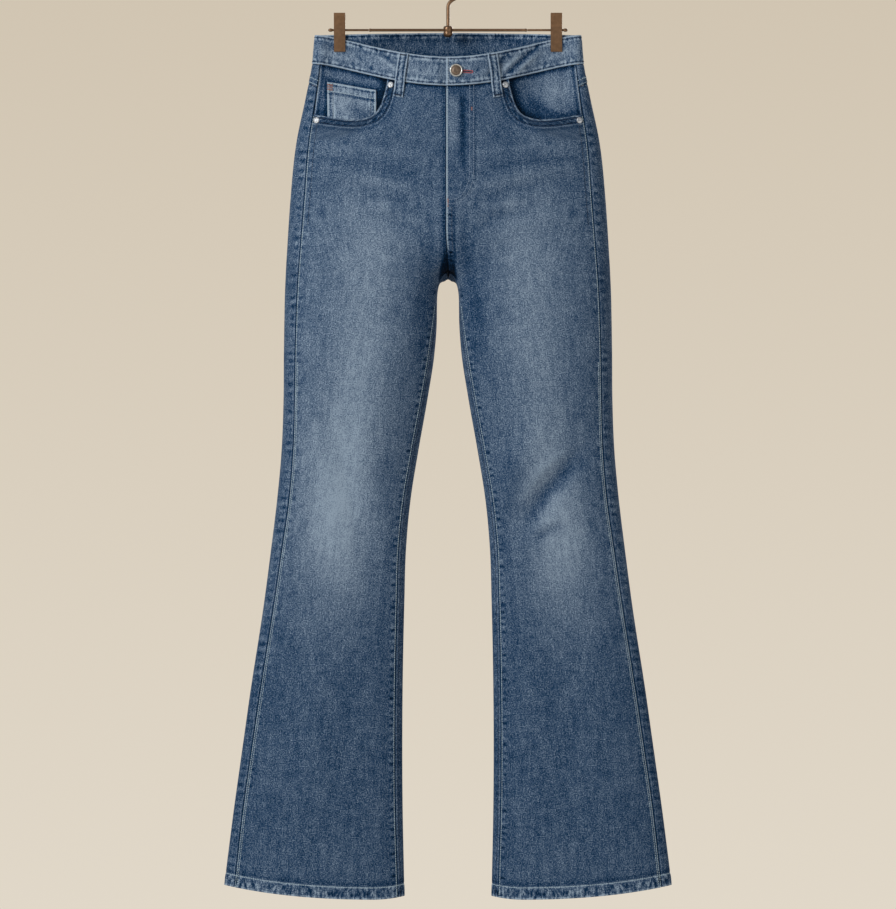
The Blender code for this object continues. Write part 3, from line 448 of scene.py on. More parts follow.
# What sewing does to the cloth beside each seam: heights and widths in millimetres, and changes of tone
seams = {
    "valley": 0.55,
    "valleyWidth": 1.1,
    "felledHeight": 0.35,
    "felledWidth": 9.0,
    "ropePitch": 9.8,
    "ropeHeight": 0.45,
    "ropeTone": 0.3,
    "hemPitch": 7.6,
    "hemHeight": 0.5,
    "hemTone": 0.22,
    "besideTone": -0.05,
    "barsInTone": 0.62,
    "barsOutTone": {"front": 0.24, "back": 0.26},
    "hemLineTone": 0.45,
    "hemRimTone": 0.5,
    "hemPucker": 1.15,
    "outseamPucker": 0.35,
    "inseamPucker": 0.3,
}


# Uneven dark knots along a seam, with pale swellings between them: about -1 to 0.5
def knots(along, pitch, seed):
    wave = ripple(along, pitch, seed)
    return np.where(wave < 0, -np.abs(wave) ** 1.3, 0.5 * wave)


# A sewn row: a dark line broken at each stitch. Distance is across the row, and along runs beside it.
def row(distance, along, pitch=3.1, width=0.75):
    return softLine(distance, 0, width) * (0.72 + 0.28 * np.cos(along * 2 * math.pi / pitch))


# Short dark bars across a seam, where the cloth puckered and the wash did not reach: -1 to 0.25
def bars(along, pitch, seed):
    wander = 0.9 * np.sin(along / pitch * 1.3 + seed) + 0.6 * np.sin(along / pitch * 0.47 + seed * 2.3)
    wave = np.cos(along * 2 * math.pi / pitch + wander)
    size = 0.75 + 0.25 * np.sin(along / pitch * 2.1 + seed * 4.1)
    return 0.25 - 1.25 * size * np.exp(-(1 - wave) / 0.4)


# The wash's tone with its fades, plus the creases' painted shade and painted highlight
def washedAndShadedTone(side, face, x, drop):
    tone = wash["upper"] + (wash["lower"] - wash["upper"]) * ease(drop, wash["lowerFrom"], wash["lowerTo"])
    tone = tone + wash["hemFade"] * ease(drop, hemDrop - 90, hemDrop - 20)
    return tone + total(fadesAndShade, "amount", side, face, x, drop) + total(creasesAndPaintedShade, "tone", side, face, x, drop)


def mouthBand(x, drop):
    toMouth = np.where(drop < 135, mouthDistance(x, np.minimum(drop, 135)), 60.0)
    return np.where(x > 60, toMouth, 60.0)


# The relief of a panel's cloth, its tone, the distance to its nearest seam or edge, and its puckering
def panelRelief(side, face, turn, drop):
    start, end = panelEnds(side, face, drop)
    speed = turnSpeed(side, turn, drop)
    x = surface(side, turn, drop)[..., 0] * sides[side]
    toStart, toEnd = (turn - start) * speed, (end - turn) * speed
    toIn, toOut = (toStart, toEnd) if face == "front" else (toEnd, toStart)
    isLeg = ease(drop, crotchDrop - 10, crotchDrop + 40)
    seed = {"r": 0.7, "l": 2.9}[side]
    onFront = face == "front"
    height = -seams["valley"] * softLine(toOut, 0, seams["valleyWidth"])
    height -= seams["valley"] * softLine(toIn, 0, seams["valleyWidth"]) * isLeg
    felledIn = isLeg * (1 - ease(toIn, seams["felledWidth"] - 1, seams["felledWidth"] + 1.5)) * onFront
    felledOut = (1 - ease(toOut, seams["felledWidth"] + 2, seams["felledWidth"] + 4)) * (not onFront)
    height += seams["felledHeight"] * (felledIn + felledOut)
    ropeIn = knots(drop + 31, seams["ropePitch"], seed + 1) * softBand(toIn, 5.4, 3.4) * isLeg
    ropeOut = knots(drop, seams["ropePitch"] * 1.15, seed) * softBand(toOut, 5.5, 4.6)
    ropes = ropeIn * (0.5 if onFront else 0.35) + ropeOut * (0.3 if onFront else 0.85)
    barsIn = bars(drop + 7 * seed, seams["ropePitch"], seed) * softBand(toIn, 6.0, 3.4) * isLeg * onFront
    outAt, outWide = (5.5, 4.0) if onFront else (6.0, 4.4)
    barsOut = bars(drop + 3 * seed, seams["ropePitch"] * 1.3, seed + 1) * softBand(toOut, outAt, outWide)
    toHem = hemDrop - drop
    across = (turn - start) * speed
    hemBand = 1 - ease(toHem, hemHeight - 1.5, hemHeight + 0.5)
    ropeHem = knots(across + 0.25 * toHem, seams["hemPitch"], seed + 2) * softBand(toHem, 7.6, 7.2)
    ropeUp = knots(across + 5, seams["hemPitch"] * 1.4, seed + 5)
    height += seams["ropeHeight"] * ropes + seams["hemHeight"] * ropeHem + 0.25 * hemBand
    height -= 0.5 * softLine(toHem, hemHeight, 1.6)
    tone = washedAndShadedTone(side, face, x, drop) + seams["ropeTone"] * ropes + seams["hemTone"] * ropeHem
    tone += seams["barsInTone"] * barsIn + seams["barsOutTone"][face] * barsOut
    beside = softLine(toIn, 0, 16) * isLeg + softLine(toOut, 0, 14)
    tone += seams["besideTone"] * beside
    tone -= 0.2 * softLine(toHem - hemHeight, 4, 3.5) * (1 + 0.6 * ropeUp)
    tone += seams["hemRimTone"] * softLine(toHem, 0, 1.5)
    nearest = np.minimum(np.minimum(toIn, toOut), toHem)
    height += total(creasesAndPaintedShade, "height", side, face, x, drop)
    pucker = seams["hemPucker"] * hemBand + seams["outseamPucker"] * softBand(toOut, 5.5, 4.5)
    pucker += seams["inseamPucker"] * isLeg * softBand(toIn, 5.5, 4.0)
    tone += seams["hemLineTone"] * softLine(toHem - hemHeight, -0.4, 1.1) + 0.04 * hemBand
    if onFront:
        toMouth = mouthBand(x, drop)
        along = x * 0.75 + drop * 0.9
        wave = ripple(along, 4.6, 1.3 + seed) * softBand(toMouth, 5.8, 4.6)
        height += 0.35 * (1 - ease(toMouth, 9, 11.5)) + 0.12 * wave
        # Puckers along the mouth, and a pale rim at its rolled edge that is partly wear and partly painted
        # highlight
        tone += 0.24 * wave + pocket["rimTone"] * softLine(toMouth, 0, 1.5)
        tone -= 0.2 * (1 - ease(toMouth, 9.5, 12.5))
        for inset in pocket["rows"]:
            height -= 0.3 * softLine(toMouth, inset, 0.9)
            tone -= pocket["rowTone"] * row(toMouth - inset, along, width=1.0)
        tone += 0.3 * softLine(toMouth, 11.6, 1.0) - 0.22 * softLine(toMouth, 14.5, 2.2)
        pucker = pucker + 0.8 * (1 - ease(toMouth, 8.5, 11.5))
        nearest = np.minimum(nearest, toMouth)
        # Under the waistband's lower edge: a groove, and a painted shadow in the tone
        toBand = np.where(x < 84, drop - bandHeight, 60)
        height -= 0.5 * softLine(toBand, 0, 2.2)
        tone -= 0.75 * softLine(toBand, 0, 2.6) + 0.1 * softLine(toBand, 0, 9.0)
        if side == "l":
            bend = ease(drop, fly["endDrop"] - 45, fly["endDrop"] + 6)
            reach = fly["width"] * np.sqrt(np.clip(1 - bend**2, 0, 1))
            onFly = drop < fly["endDrop"] + 4
            height += fly["raised"] * (1 - ease(x, reach - 3, reach + 3)) * onFly
            # Along the fly: a pale band, painted shade in the hollow beside it, and a painted highlight on
            # the ridge at the fly's edge
            height -= 0.7 * softLine(x, fly["hollowX"], 2.8) * ease(drop, 44, 60) * (1 - ease(drop, 120, 160))
            pale = softBand(x, 7, 6.5) * ease(drop, 44, 62) * (1 - ease(drop, 120, 175))
            dark = softLine(x, fly["hollowX"], 3.6) * ease(drop, 44, 60) * (1 - ease(drop, 130, 185))
            ridge = softLine(x - reach, 1.5, 4.5) * onFly * ease(drop, 60, 110)
            tone += 0.2 * pale - fly["hollowShadeTone"] * dark + 0.14 * ridge
            line = softLine(toIn, 0.4, 1.4) * (1 - isLeg) * (1 - 0.85 * ease(drop, 258, 300))
            tone += fly["lineTone"] * line
            tone -= 0.24 * softLine(x, 27, 3.0) * knots(drop, 12.0, 0.2) * onFly
            rim = softLine(x - reach, -0.5, 1.4) * onFly * ease(drop, 44, 60)
            tone -= 0.3 * rim * (0.7 + 0.5 * ripple(drop, 7.0, 0.8))
            tone -= 0.07 * (x < reach) * onFly
            tone += 0.1 * knots(drop, 11.0, 0.4) * softLine(x, 5, 4.0) * onFly * ease(drop, 150, 190)
        else:
            # Painted shadow beside the centre seam, next to the edge of the fly
            tone -= 0.4 * softLine(toIn, 1, 3.5) * (drop < crotchDrop)
        # Below the fly: painted shade in the valley between the legs, and the felled seam's knots on the left
        centre = ease(drop, fly["endDrop"] - 6, fly["endDrop"] + 12) * (1 - isLeg)
        tone -= 0.16 * softLine(x, 0, 9.0) * centre
        if side == "l":
            tone += 0.75 * bars(drop, 5.4, 0.9) * softBand(toIn, 5.2, 3.2) * centre
            # Painted shade just past the felled band's edge
            tone -= 0.3 * softLine(toIn, 10.2, 1.5) * centre
        # Where the front curves under at the crotch: painted shade, and a dip
        depth = ease(drop, crotchDrop - 44, crotchDrop + 6)
        notch = (1 - ease(x, 2 + 5 * depth, 6 + 7 * depth)) * depth * (1 - ease(drop, 335, 350))
        tone -= 0.85 * notch
        height -= 2.0 * notch * depth
    return height, tone, np.clip(nearest, 0, 40), pucker


# Meshes of cloth
def place(obj):
    bpy.context.scene.collection.objects.link(obj)
    return obj


def meshFrom(name, points, faces):
    mesh = bpy.data.meshes.new(name)
    mesh.vertices.add(len(points))
    mesh.vertices.foreach_set("co", np.asarray(points, np.float32).ravel())
    mesh.loops.add(len(faces) * 4)
    mesh.loops.foreach_set("vertex_index", faces.ravel())
    mesh.polygons.add(len(faces))
    mesh.polygons.foreach_set("loop_start", np.arange(0, len(faces) * 4, 4))
    mesh.update(calc_edges=True)
    return mesh


def tidyMesh(mesh, angle=50):
    shaped = bmesh.new()
    shaped.from_mesh(mesh)
    bmesh.ops.remove_doubles(shaped, verts=shaped.verts, dist=1e-6)
    bmesh.ops.recalc_face_normals(shaped, faces=shaped.faces)
    if shaped.calc_volume(signed=True) < 0:
        bmesh.ops.reverse_faces(shaped, faces=shaped.faces)
    shaped.to_mesh(mesh)
    shaped.free()
    mesh.shade_smooth()
    mesh.set_sharp_from_angle(angle=math.radians(angle))


# Two grids of points joined round their rim. The inner one takes the second look.
def clothMesh(name, outer, inner, marks, looks, tube=False, insideShade=0.0):
    rows, columns = outer.shape[:2]
    back = rows * columns
    points = np.concatenate([outer.reshape(-1, 3), inner.reshape(-1, 3)]) * mm
    wraps = columns if tube else columns - 1
    r, c = np.meshgrid(np.arange(rows - 1), np.arange(wraps), indexing="ij")
    a, b = (r * columns + c).ravel(), (r * columns + (c + 1) % columns).ravel()
    faces = [
        np.stack([a, b, b + columns, a + columns], 1),
        np.stack([a, a + columns, b + columns, b], 1) + back,
    ]
    c = np.arange(wraps)
    for row, flip in ((0, True), (rows - 1, False)):
        a, b = row * columns + c, row * columns + (c + 1) % columns
        rim = np.stack([a, b, b + back, a + back], 1)
        faces.append(rim[:, ::-1] if flip else rim)
    if not tube:
        r = np.arange(rows - 1)
        for column, flip in ((0, False), (columns - 1, True)):
            a, b = r * columns + column, (r + 1) * columns + column
            rim = np.stack([a, b, b + back, a + back], 1)
            faces.append(rim[:, ::-1] if flip else rim)
    faces = np.concatenate(faces)
    mesh = meshFrom(name, points, faces)
    for look in looks:
        mesh.materials.append(materials[look])
    count = (rows - 1) * wraps
    index = np.zeros(len(faces), int)
    index[count : 2 * count] = len(looks) - 1
    mesh.polygons.foreach_set("material_index", index)
    acrossSteps = np.linalg.norm(np.diff(outer, axis=1), axis=2)
    downSteps = np.linalg.norm(np.diff(outer, axis=0), axis=2)
    u = np.concatenate([np.zeros((rows, 1)), np.cumsum(acrossSteps, axis=1)], 1)
    u -= u[:, columns // 2 : columns // 2 + 1]
    v = np.concatenate([np.zeros((1, columns)), np.cumsum(downSteps, axis=0)], 0)
    v = np.broadcast_to(-v[:, columns // 2 : columns // 2 + 1], u.shape)
    perPoint = np.concatenate([np.stack([u, v], -1).reshape(-1, 2)] * 2) * mm
    mesh.uv_layers.new(name="cloth").data.foreach_set("uv", perPoint[faces.ravel()].ravel())
    for key, usual in (("tone", 0.5), ("seam", 40.0), ("pucker", 0.0)):
        values = np.broadcast_to(np.asarray(marks.get(key, usual), float), (rows, columns)).ravel()
        within = values + insideShade if key == "tone" else values
        attribute = mesh.attributes.new(key, "FLOAT", "POINT")
        attribute.data.foreach_set("value", np.concatenate([values, within]).astype(np.float32))
    tidyMesh(mesh)
    return place(bpy.data.objects.new(name, mesh))


# Attaches a cloth piece to the body and hides the nodes it stands for
def declareCloth(piece, nodes):
    declare(piece, nodes)


def roundedEdge(edge, half):
    t = np.clip(edge / np.maximum(half, 0.05), 0, 1)
    return np.sqrt(np.clip(1 - (1 - t) ** 2, 0, 1))


# A layer's top and bottom, drawn together at its edge
def rounded(top, bottom, edge):
    half, middle = (top - bottom) / 2, (top + bottom) / 2
    curve = roundedEdge(edge, half)
    return middle + half * curve, middle - half * curve


def evenButClose(count, closeness):
    t = np.linspace(0, 1, count)
    return t - closeness * np.sin(2 * math.pi * t) / (2 * math.pi)


# Positions from 0 to a length, closest together at both ends where the edge is rounded
def edgeSteps(length, inside, radius=1.2):
    close = np.array([0.0, 0.07, 0.25, 0.55, 1.0]) * radius
    middle = np.linspace(radius, length - radius, inside)[1:-1]
    return np.concatenate([close, middle, length - close[::-1]])


denimLayers = ["denim", "denimInside"]


# A piece of cloth between two heights above the garment's surface
def clothPiece(name, nodes, side, turns, drops, top, bottom, marks, looks, insideShade=0.0,
               keep=None):
    base, normal = surface(side, turns, drops), outward(side, turns, drops)
    grids = []
    for lift in (top, bottom):
        grid = base + normal * np.broadcast_to(np.asarray(lift, float), turns.shape)[..., None]
        if keep is not None:
            grid[..., 0] = np.maximum(grid[..., 0] * sides[side], keep) * sides[side]
        grids.append(grid)
    piece = clothMesh(name, *grids, marks, looks, insideShade=insideShade)
    declareCloth(piece, nodes)
    return piece


# The front pocket's mouth and the two layers that hang behind it
pocket = {
    "innerX": 80.5,
    "mouth": [(79.5, 38.2), (81.0, 48.0), (84.5, 63.0), (88.5, 77.0), (96.0, 90.0),
              (106.5, 98.5), (119.0, 103.0), (135.0, 105.0), (176.0, 104.0)],
    "rows": (3.3, 9.4),
    "rowTone": 0.62,
    "rimTone": 0.62,
    "facingDrop": 146.0,
    "bagDrop": 238.0,
    "slack": 0.8,
    "gape": 3.4,
    "gapeX": 98.0,
    "gapeDrop": 78.0,
    "gapeSpread": 26.0,
    "foldedEdge": 0.45,
}


def mouthLine(count):
    xs, drops = np.array(pocket["mouth"]).T
    length = np.concatenate([[0], np.cumsum(np.hypot(np.diff(xs), np.diff(drops)))])
    at = np.linspace(0, length[-1], count)
    return through(xs, length, at), through(drops, length, at)


def mouthDistance(x, drop):
    lineX, lineDrop = mouthLine(70)
    return np.hypot(x[..., None] - lineX, drop[..., None] - lineDrop).min(axis=-1)


panels = {
    "columns": 60,
    "rowStep": 2.7,
    "hemStep": 1.3,
    "closeness": 0.76,
    "levelDrop": 137.0,
    "lengths": ("hip", "thigh", "knee", "flare"),
}


def legLevels(start):
    hemTop = hemDrop - hemHeight - 10
    last = hemDrop - np.array([0.8, 0.3, 0.0])
    leg = np.arange(start, hemTop, panels["rowStep"])
    turnUp = np.arange(hemTop, last[0] - 0.4, panels["hemStep"])
    return np.concatenate([leg, turnUp, last])


def panelNodes(face, side):
    return [f"{face}_{length}_{side}" for length in panels["lengths"]]


def frontPanel(side):
    flatColumns, mouthColumns, levelDrop = 46, 38, panels["levelDrop"]
    mouthX, mouthDrop = mouthLine(mouthColumns)
    waistDrop = panelTop
    start, end = panelEnds(side, "front", mouthDrop)
    mouthShare = (turnAt(mouthX, mouthDrop, "front") - start) / (end - start)
    mouthShare[-1] = 1.0
    flat = evenButClose(flatColumns + 1, 0.6)[:-1]
    topShare = np.concatenate([mouthShare[0] * flat, mouthShare])
    topDrop = np.concatenate([np.full(flatColumns, waistDrop), mouthDrop])
    close = evenButClose(len(topShare), panels["closeness"])
    shares, drops = [], []
    for v in (1 - np.cos(np.linspace(0, math.pi / 2, 44))) * 0.999:
        spread = 0.8 * v**1.7
        shares.append(topShare + (close - topShare) * spread)
        drops.append(topDrop + (levelDrop - topDrop) * v)
    for drop in legLevels(levelDrop):
        settled = ease(drop, levelDrop, 230)
        shares.append(topShare + (close - topShare) * (0.8 + 0.2 * settled))
        drops.append(np.full(len(close), float(drop)))
    shares, drops = np.array(shares), np.array(drops)
    start, end = panelEnds(side, "front", drops)
    turns = start + (end - start) * shares
    height, tone, nearest, pucker = panelRelief(side, "front", turns, drops)
    x = surface(side, turns, drops)[..., 0] * sides[side]
    toMouth = mouthBand(x, drops)
    folded = (1 - ease(toMouth, 9, 11)) * ease(drops, 39, 50)
    bottom = np.minimum(height, 0) - clothThick - pocket["foldedEdge"] * folded
    top, bottom = rounded(height, bottom, np.where(toMouth < 3, toMouth, np.inf))
    keep = clearOfCentre(side, "front", drops)
    marks = {"tone": tone, "seam": nearest, "pucker": pucker}
    name, nodes = f"frontPanel_{side}", panelNodes("front", side)
    clothPiece(name, nodes, side, turns, drops, top, bottom, marks, denimLayers, keep=keep)


yokes = {"sideDrop": 63.0, "backDrop": 104.0, "levelDrop": 80.0}


def yokeDrop(turn):
    x = np.clip(np.sin(math.pi * turn), 0, 1)
    return yokes["sideDrop"] + (yokes["backDrop"] - yokes["sideDrop"]) * (1 - x) ** 0.8


def backTurns(side, drops, shares):
    start, end = panelEnds(side, "back", drops)
    return start + (end - start) * shares


def backPanel(side):
    shares, levelDrop = evenButClose(panels["columns"], panels["closeness"]), panels["levelDrop"]
    seam = yokeDrop(backTurns(side, np.full(len(shares), yokes["levelDrop"]), shares)) + seamGap / 2
    drops = [seam + (levelDrop - seam) * v for v in np.linspace(0, 1, 24, endpoint=False)]
    drops += [np.full(len(shares), drop) for drop in legLevels(levelDrop)]
    drops = np.array(drops)
    turns = backTurns(side, drops, shares)
    height, tone, nearest, pucker = panelRelief(side, "back", turns, drops)
    toYoke = drops - seam
    height -= 0.45 * softLine(toYoke, 0, 1.2)
    tone += 0.12 * softLine(toYoke, 2, 1.6)
    marks = {"tone": tone, "seam": np.minimum(nearest, toYoke), "pucker": pucker}
    keep = clearOfCentre(side, "back", drops)
    name, nodes = f"backPanel_{side}", panelNodes("back", side)
    bottom = np.minimum(height, 0) - clothThick
    clothPiece(name, nodes, side, turns, drops, height, bottom, marks, denimLayers, keep=keep)


def yokeRelief(side, turns, drops):
    start, end = panelEnds(side, "back", drops)
    x = surface(side, turns, drops)[..., 0] * sides[side]
    seam = yokeDrop(turns) - seamGap / 2
    top = panelTop
    toFoot = seam - drops
    edge = np.minimum(turns - start, end - turns) * turnSpeed(side, turns, drops)
    nearest = np.clip(np.minimum(np.minimum(toFoot, drops - top), edge), 0, 40)
    rope = knots(x, 9.0, 0.4) * softBand(toFoot, 5, 4)
    height = -0.45 * softLine(nearest, 0, 1.2) + 0.35 * (1 - ease(toFoot, 9, 11)) + 0.15 * rope
    tone = washedAndShadedTone(side, "back", x, drops) + 0.12 * rope - 0.06 * softLine(toFoot, 11, 3)
    return height, tone, nearest


def yoke(side):
    shares = evenButClose(panels["columns"], panels["closeness"])
    seam = yokeDrop(backTurns(side, np.full(len(shares), yokes["levelDrop"]), shares)) - seamGap / 2
    top = panelTop
    drops = np.array([top + (seam - top) * v for v in evenButClose(26, 0.6)])
    turns = backTurns(side, drops, shares)
    height, tone, nearest = yokeRelief(side, turns, drops)
    pucker = 0.6 * (1 - ease(yokeDrop(turns) - drops, 8, 11))
    marks, bottom = {"tone": tone, "seam": nearest, "pucker": pucker}, -clothThick
    clothPiece(f"yokePanel_{side}", [f"yoke_{side}"], side, turns, drops, height, bottom, marks, denimLayers)


# The waistband: two halves that overlap at the front
band = {
    "thick": 2.4,
    "proud": 0.4,
    "buttonX": 10.5,
    "buttonDrop": 18.5,
    "holeStartX": 17.0,
    "holeEndX": 31.0,
    "holeWidth": 1.5,
    "holeLean": 3.0,
    "length": 380.0,
    "stitchInset": 3.0,
    "tone": 0.64,
    "insideShade": -0.3,
}


def bandRelief(side, turns, drops):
    x = surface(side, turns, drops)[..., 0] * sides[side]
    isFront = turns < 0.5
    height, tone = np.zeros(turns.shape), np.full(turns.shape, band["tone"])
    for name, here in (("front", isFront), ("back", ~isFront)):
        height += np.where(here, total(creasesAndPaintedShade, "height", side, name, x, drops), 0)
        tone += np.where(here, total(creasesAndPaintedShade, "tone", side, name, x, drops), 0)
    end = bandFoot
    inset = band["stitchInset"]
    edge = np.minimum(drops, end - drops)
    rows = softLine(edge, inset, 2.6)
    along = np.cumsum(np.abs(np.diff(x, axis=-1, prepend=x[..., :1])), axis=-1) if x.ndim > 1 else np.abs(x)
    puckers = ripple(along, 5.2, 0.9) * rows
    tone += 0.28 * puckers - 0.5 * row(edge - inset, along, width=1.0) + 0.22 * softLine(edge, 5.6, 1.3)
    tone -= 0.12 * softLine(edge, 9.5, 2.5) * (1 + ripple(along, 9.0, 2.2))
    under = 0.0
    if side == "r":
        under = (band["thick"] + seamGap) * (1 - ease(x, fly["shift"] + 0.6, fly["shift"] + 12)) * isFront
    return band["proud"] - under + height + 0.12 * puckers - 0.15 * rows, tone


def waistband(side):
    edgeX = -fly["shift"] + seamGap / 2 if side == "l" else -fly["underlap"]
    rows = edgeSteps(bandFoot, 38)
    start = turnAt(edgeX, rows, "front")
    backEnd = 1 - seamGap / 2 / turnSpeed(side, np.ones(len(rows)), rows)
    length = band["length"]
    steps = edgeSteps(length, 230) / length
    turns = start[:, None] + (backEnd - start)[:, None] * steps
    drops = np.broadcast_to(rows[:, None], turns.shape)
    edge = np.minimum(rows, rows[-1] - rows)[:, None] + np.zeros(turns.shape)
    if side == "l":
        edge = np.minimum(edge, (steps * length)[None, :])
    top, tone = bandRelief(side, turns, drops)
    # A pale rim along the band's edges, partly wear and partly painted highlight
    tone = tone + 0.8 * softLine(edge, 0.7, 1.1) * (1 + 0.35 * ripple(turns * 800, 6.0, 1.7))
    top, bottom = rounded(top, top - band["thick"], edge)
    marks = {"tone": tone, "seam": 12.0, "pucker": 0.35 + 0.75 * softBand(edge, 4.0, 3.5)}
    name, node, looks = f"band_{side}", f"waistband_{side}", ["denim", "denim"]
    # The band's inner face is painted darker: painted shade
    inside = band["insideShade"]
    piece = clothPiece(name, [node], side, turns, drops, top, bottom, marks, looks, insideShade=inside)
    if side == "l":
        cutButtonhole(piece)


def bandSpot(x, drop, height=0.0):
    drop = np.asarray(drop, float)
    turn = turnAt(x, drop, "front")
    return lifted("l", turn, drop, bandRelief("l", turn, drop)[0] + height)


# The hole's slit and the round eye that the button's shank stands in
def cutButtonhole(piece):
    holeDrops = [band["buttonDrop"], band["buttonDrop"] + band["holeLean"]]
    (first, last), normals = bandSpot([band["buttonX"], band["holeEndX"]], holeDrops)
    out = Vector(normals[0])
    along = Vector(last - first)
    slit = bmesh.new()
    bmesh.ops.create_cube(slit, size=1.0)
    bmesh.ops.scale(slit, vec=(along.length, band["holeWidth"], 12), verts=slit.verts)
    across = out.cross(along).normalized()
    turned = Matrix((along.normalized(), across, out)).transposed().to_4x4()
    middle = Matrix.Translation(Vector((first + last) / 2))
    bmesh.ops.transform(slit, matrix=Matrix.Scale(mm, 4) @ middle @ turned, verts=slit.verts)
    eye = bmesh.new()
    bmesh.ops.create_cone(eye, cap_ends=True, segments=16, radius1=2.4, radius2=2.4, depth=12)
    atButton = Matrix.Translation(Vector(first))
    bmesh.ops.transform(eye, matrix=Matrix.Scale(mm, 4) @ atButton @ turned, verts=eye.verts)
    for shape in (slit, eye):
        mesh = bpy.data.meshes.new("cutter")
        shape.to_mesh(mesh)
        shape.free()
        cutter = place(bpy.data.objects.new("cutter", mesh))
        cut = piece.modifiers.new("cut", "BOOLEAN")
        cut.object = cutter
        cut.solver = "EXACT"
        applyModifiers(piece)
        bpy.data.objects.remove(cutter)


# Every piece is on the one body. It stands for its nodes, where it has them.
def declare(piece, nodes=()):
    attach(piece, "root")
    if nodes:
        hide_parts(*nodes)
    return piece


def applyModifiers(piece):
    graph = bpy.context.evaluated_depsgraph_get()
    made = bpy.data.meshes.new_from_object(piece.evaluated_get(graph))
    piece.modifiers.clear()
    piece.data = made


# The facing hangs a little away from the mouth's lower corner
def facingHeight(x, drop):
    at, spread = (pocket["gapeX"], pocket["gapeDrop"]), (pocket["gapeSpread"], pocket["gapeSpread"])
    slack = pocket["slack"] * ease(drop, bandHeight, bandHeight + 12)
    return -(clothThick + seamGap) - slack - pocket["gape"] * softSpot(x, drop, at, spread)


def pocketInside(side):
    gap = seamGap
    layers = (
        ("facing", "pocket_facing", bandHeight + gap / 2, pocket["facingDrop"], "denim", 46),
        ("pocketBag", "pocket_bag", pocket["facingDrop"] + gap, pocket["bagDrop"], "pocketing", 26),
    )
    for name, node, startDrop, endDrop, look, rows in layers:
        levels = np.linspace(startDrop, endDrop, rows)
        out = outseam(levels)
        sideTurn = out - 3 * gap / 2 / turnSpeed(side, out, levels)
        foot = np.clip((levels - pocket["facingDrop"]) / (pocket["bagDrop"] - pocket["facingDrop"]), 0, 1)
        innerTurn = turnAt(pocket["innerX"] - 20 + 14 * foot**3, levels, "front")
        sideTurn = sideTurn - 0.03 * foot**3
        turns = innerTurn[:, None] + (sideTurn - innerTurn)[:, None] * evenButClose(50, 0.3)
        drops = np.broadcast_to(levels[:, None], turns.shape)
        x = surface(side, turns, drops)[..., 0] * sides[side]
        toMouth = mouthDistance(x, drops)
        toSide = (out[:, None] - turns) * turnSpeed(side, turns, drops)
        height = facingHeight(x, drops) + total(creasesAndPaintedShade, "height", side, "facing", x, drops)
        tone = 0.52 + total(creasesAndPaintedShade, "tone", side, "facing", x, drops)
        # Painted shade inside the pocket's mouth and at its lower inner corner, and a painted highlight on
        # the facing's fold
        tone -= 0.95 * softLine(toMouth, 0, 9.0) * (1 - 0.55 * ease(x, 110, 140))
        tone -= 0.3 * softSpot(x, drops, (104, 86), (18, 15))
        tone += 0.14 * softSpot(x, drops, (135, 70), (20, 14))
        # Painted shadow under the waistband, at the facing's top
        tone -= 0.8 * softLine(drops, startDrop, 4.0)
        tone += 0.3 * softLine(toSide, 1.8, 1.4) - 0.3 * softLine(toSide, 6.0, 2.5)
        # Painted shadow round the coin pocket
        if side == "r":
            around = np.maximum(np.abs(x - 126.5) - 31.5, 0) ** 2 + np.maximum(57 - drops, 0) ** 2
            tone -= 0.55 * np.exp(-around / 22.0)
        marks = {"tone": tone, "seam": np.clip(toSide, 0, 40)}
        looks, bottom = [look, "pocketing" if look == "pocketing" else "denimInside"], height - clothThick
        name, nodes = f"{name}_{side}", [f"{node}_{side}"]
        clothPiece(name, nodes, side, turns, drops, height, bottom, marks, looks)


# The coin pocket shows inside the wearer's right pocket
coin = {
    "innerX": 95.0,
    "outerX": 158.0,
    "innerDrop": 55.5,
    "outerDrop": 59.0,
    "footDrop": 108.0,
    "clearance": 0.35,
    "hem": 13.0,
    "tone": 0.74,
}


def coinRelief(x, drops):
    s = np.clip((x - coin["innerX"]) / (coin["outerX"] - coin["innerX"]), 0, 1)
    top = coin["innerDrop"] + (coin["outerDrop"] - coin["innerDrop"]) * s
    fromTop = drops - top
    fromSide = np.minimum(s, 1 - s) * (coin["outerX"] - coin["innerX"])
    bottom = facingHeight(x, drops) + coin["clearance"] * (1 - 0.7 * ease(drops, 84, 96))
    thick = clothThick + 0.6 - ease(fromTop, coin["hem"] - 1, coin["hem"] + 1) * 0.9
    thick = thick * (1 - 0.45 * ease(drops, 88.0, coin["footDrop"] - 6))
    rope = ripple(x, 5.0, 0.3) * softBand(fromTop, 6.5, 5)
    below = ease(fromTop, 11, 14)
    sideRope = ripple(drops, 5.0, 1.9) * softBand(fromSide, 3.5, 3) * below
    tone = coin["tone"] + 0.26 * (rope + sideRope) - 0.6 * softLine(fromTop - coin["hem"], 1.2, 1.3)
    tone -= 0.5 * softLine(fromTop, 4.2, 1.0) + 0.45 * softLine(fromSide, 4.2, 1.2) * below
    tone += 0.3 * softLine(fromSide, 8.0, 1.0) * below
    # Painted shade in the coin pocket's lower inner part
    tone -= 0.5 * softSpot(x, drops, (100, 98), (16, 13))
    tone -= 0.22 * softSpot(x, drops, (122, 90), (10, 10))
    edge = np.minimum(np.minimum(fromSide, fromTop), coin["footDrop"] - drops)
    tone += 0.55 * softLine(edge, 0.6, 1.1)
    return bottom, bottom + thick + 0.08 * rope, tone, edge


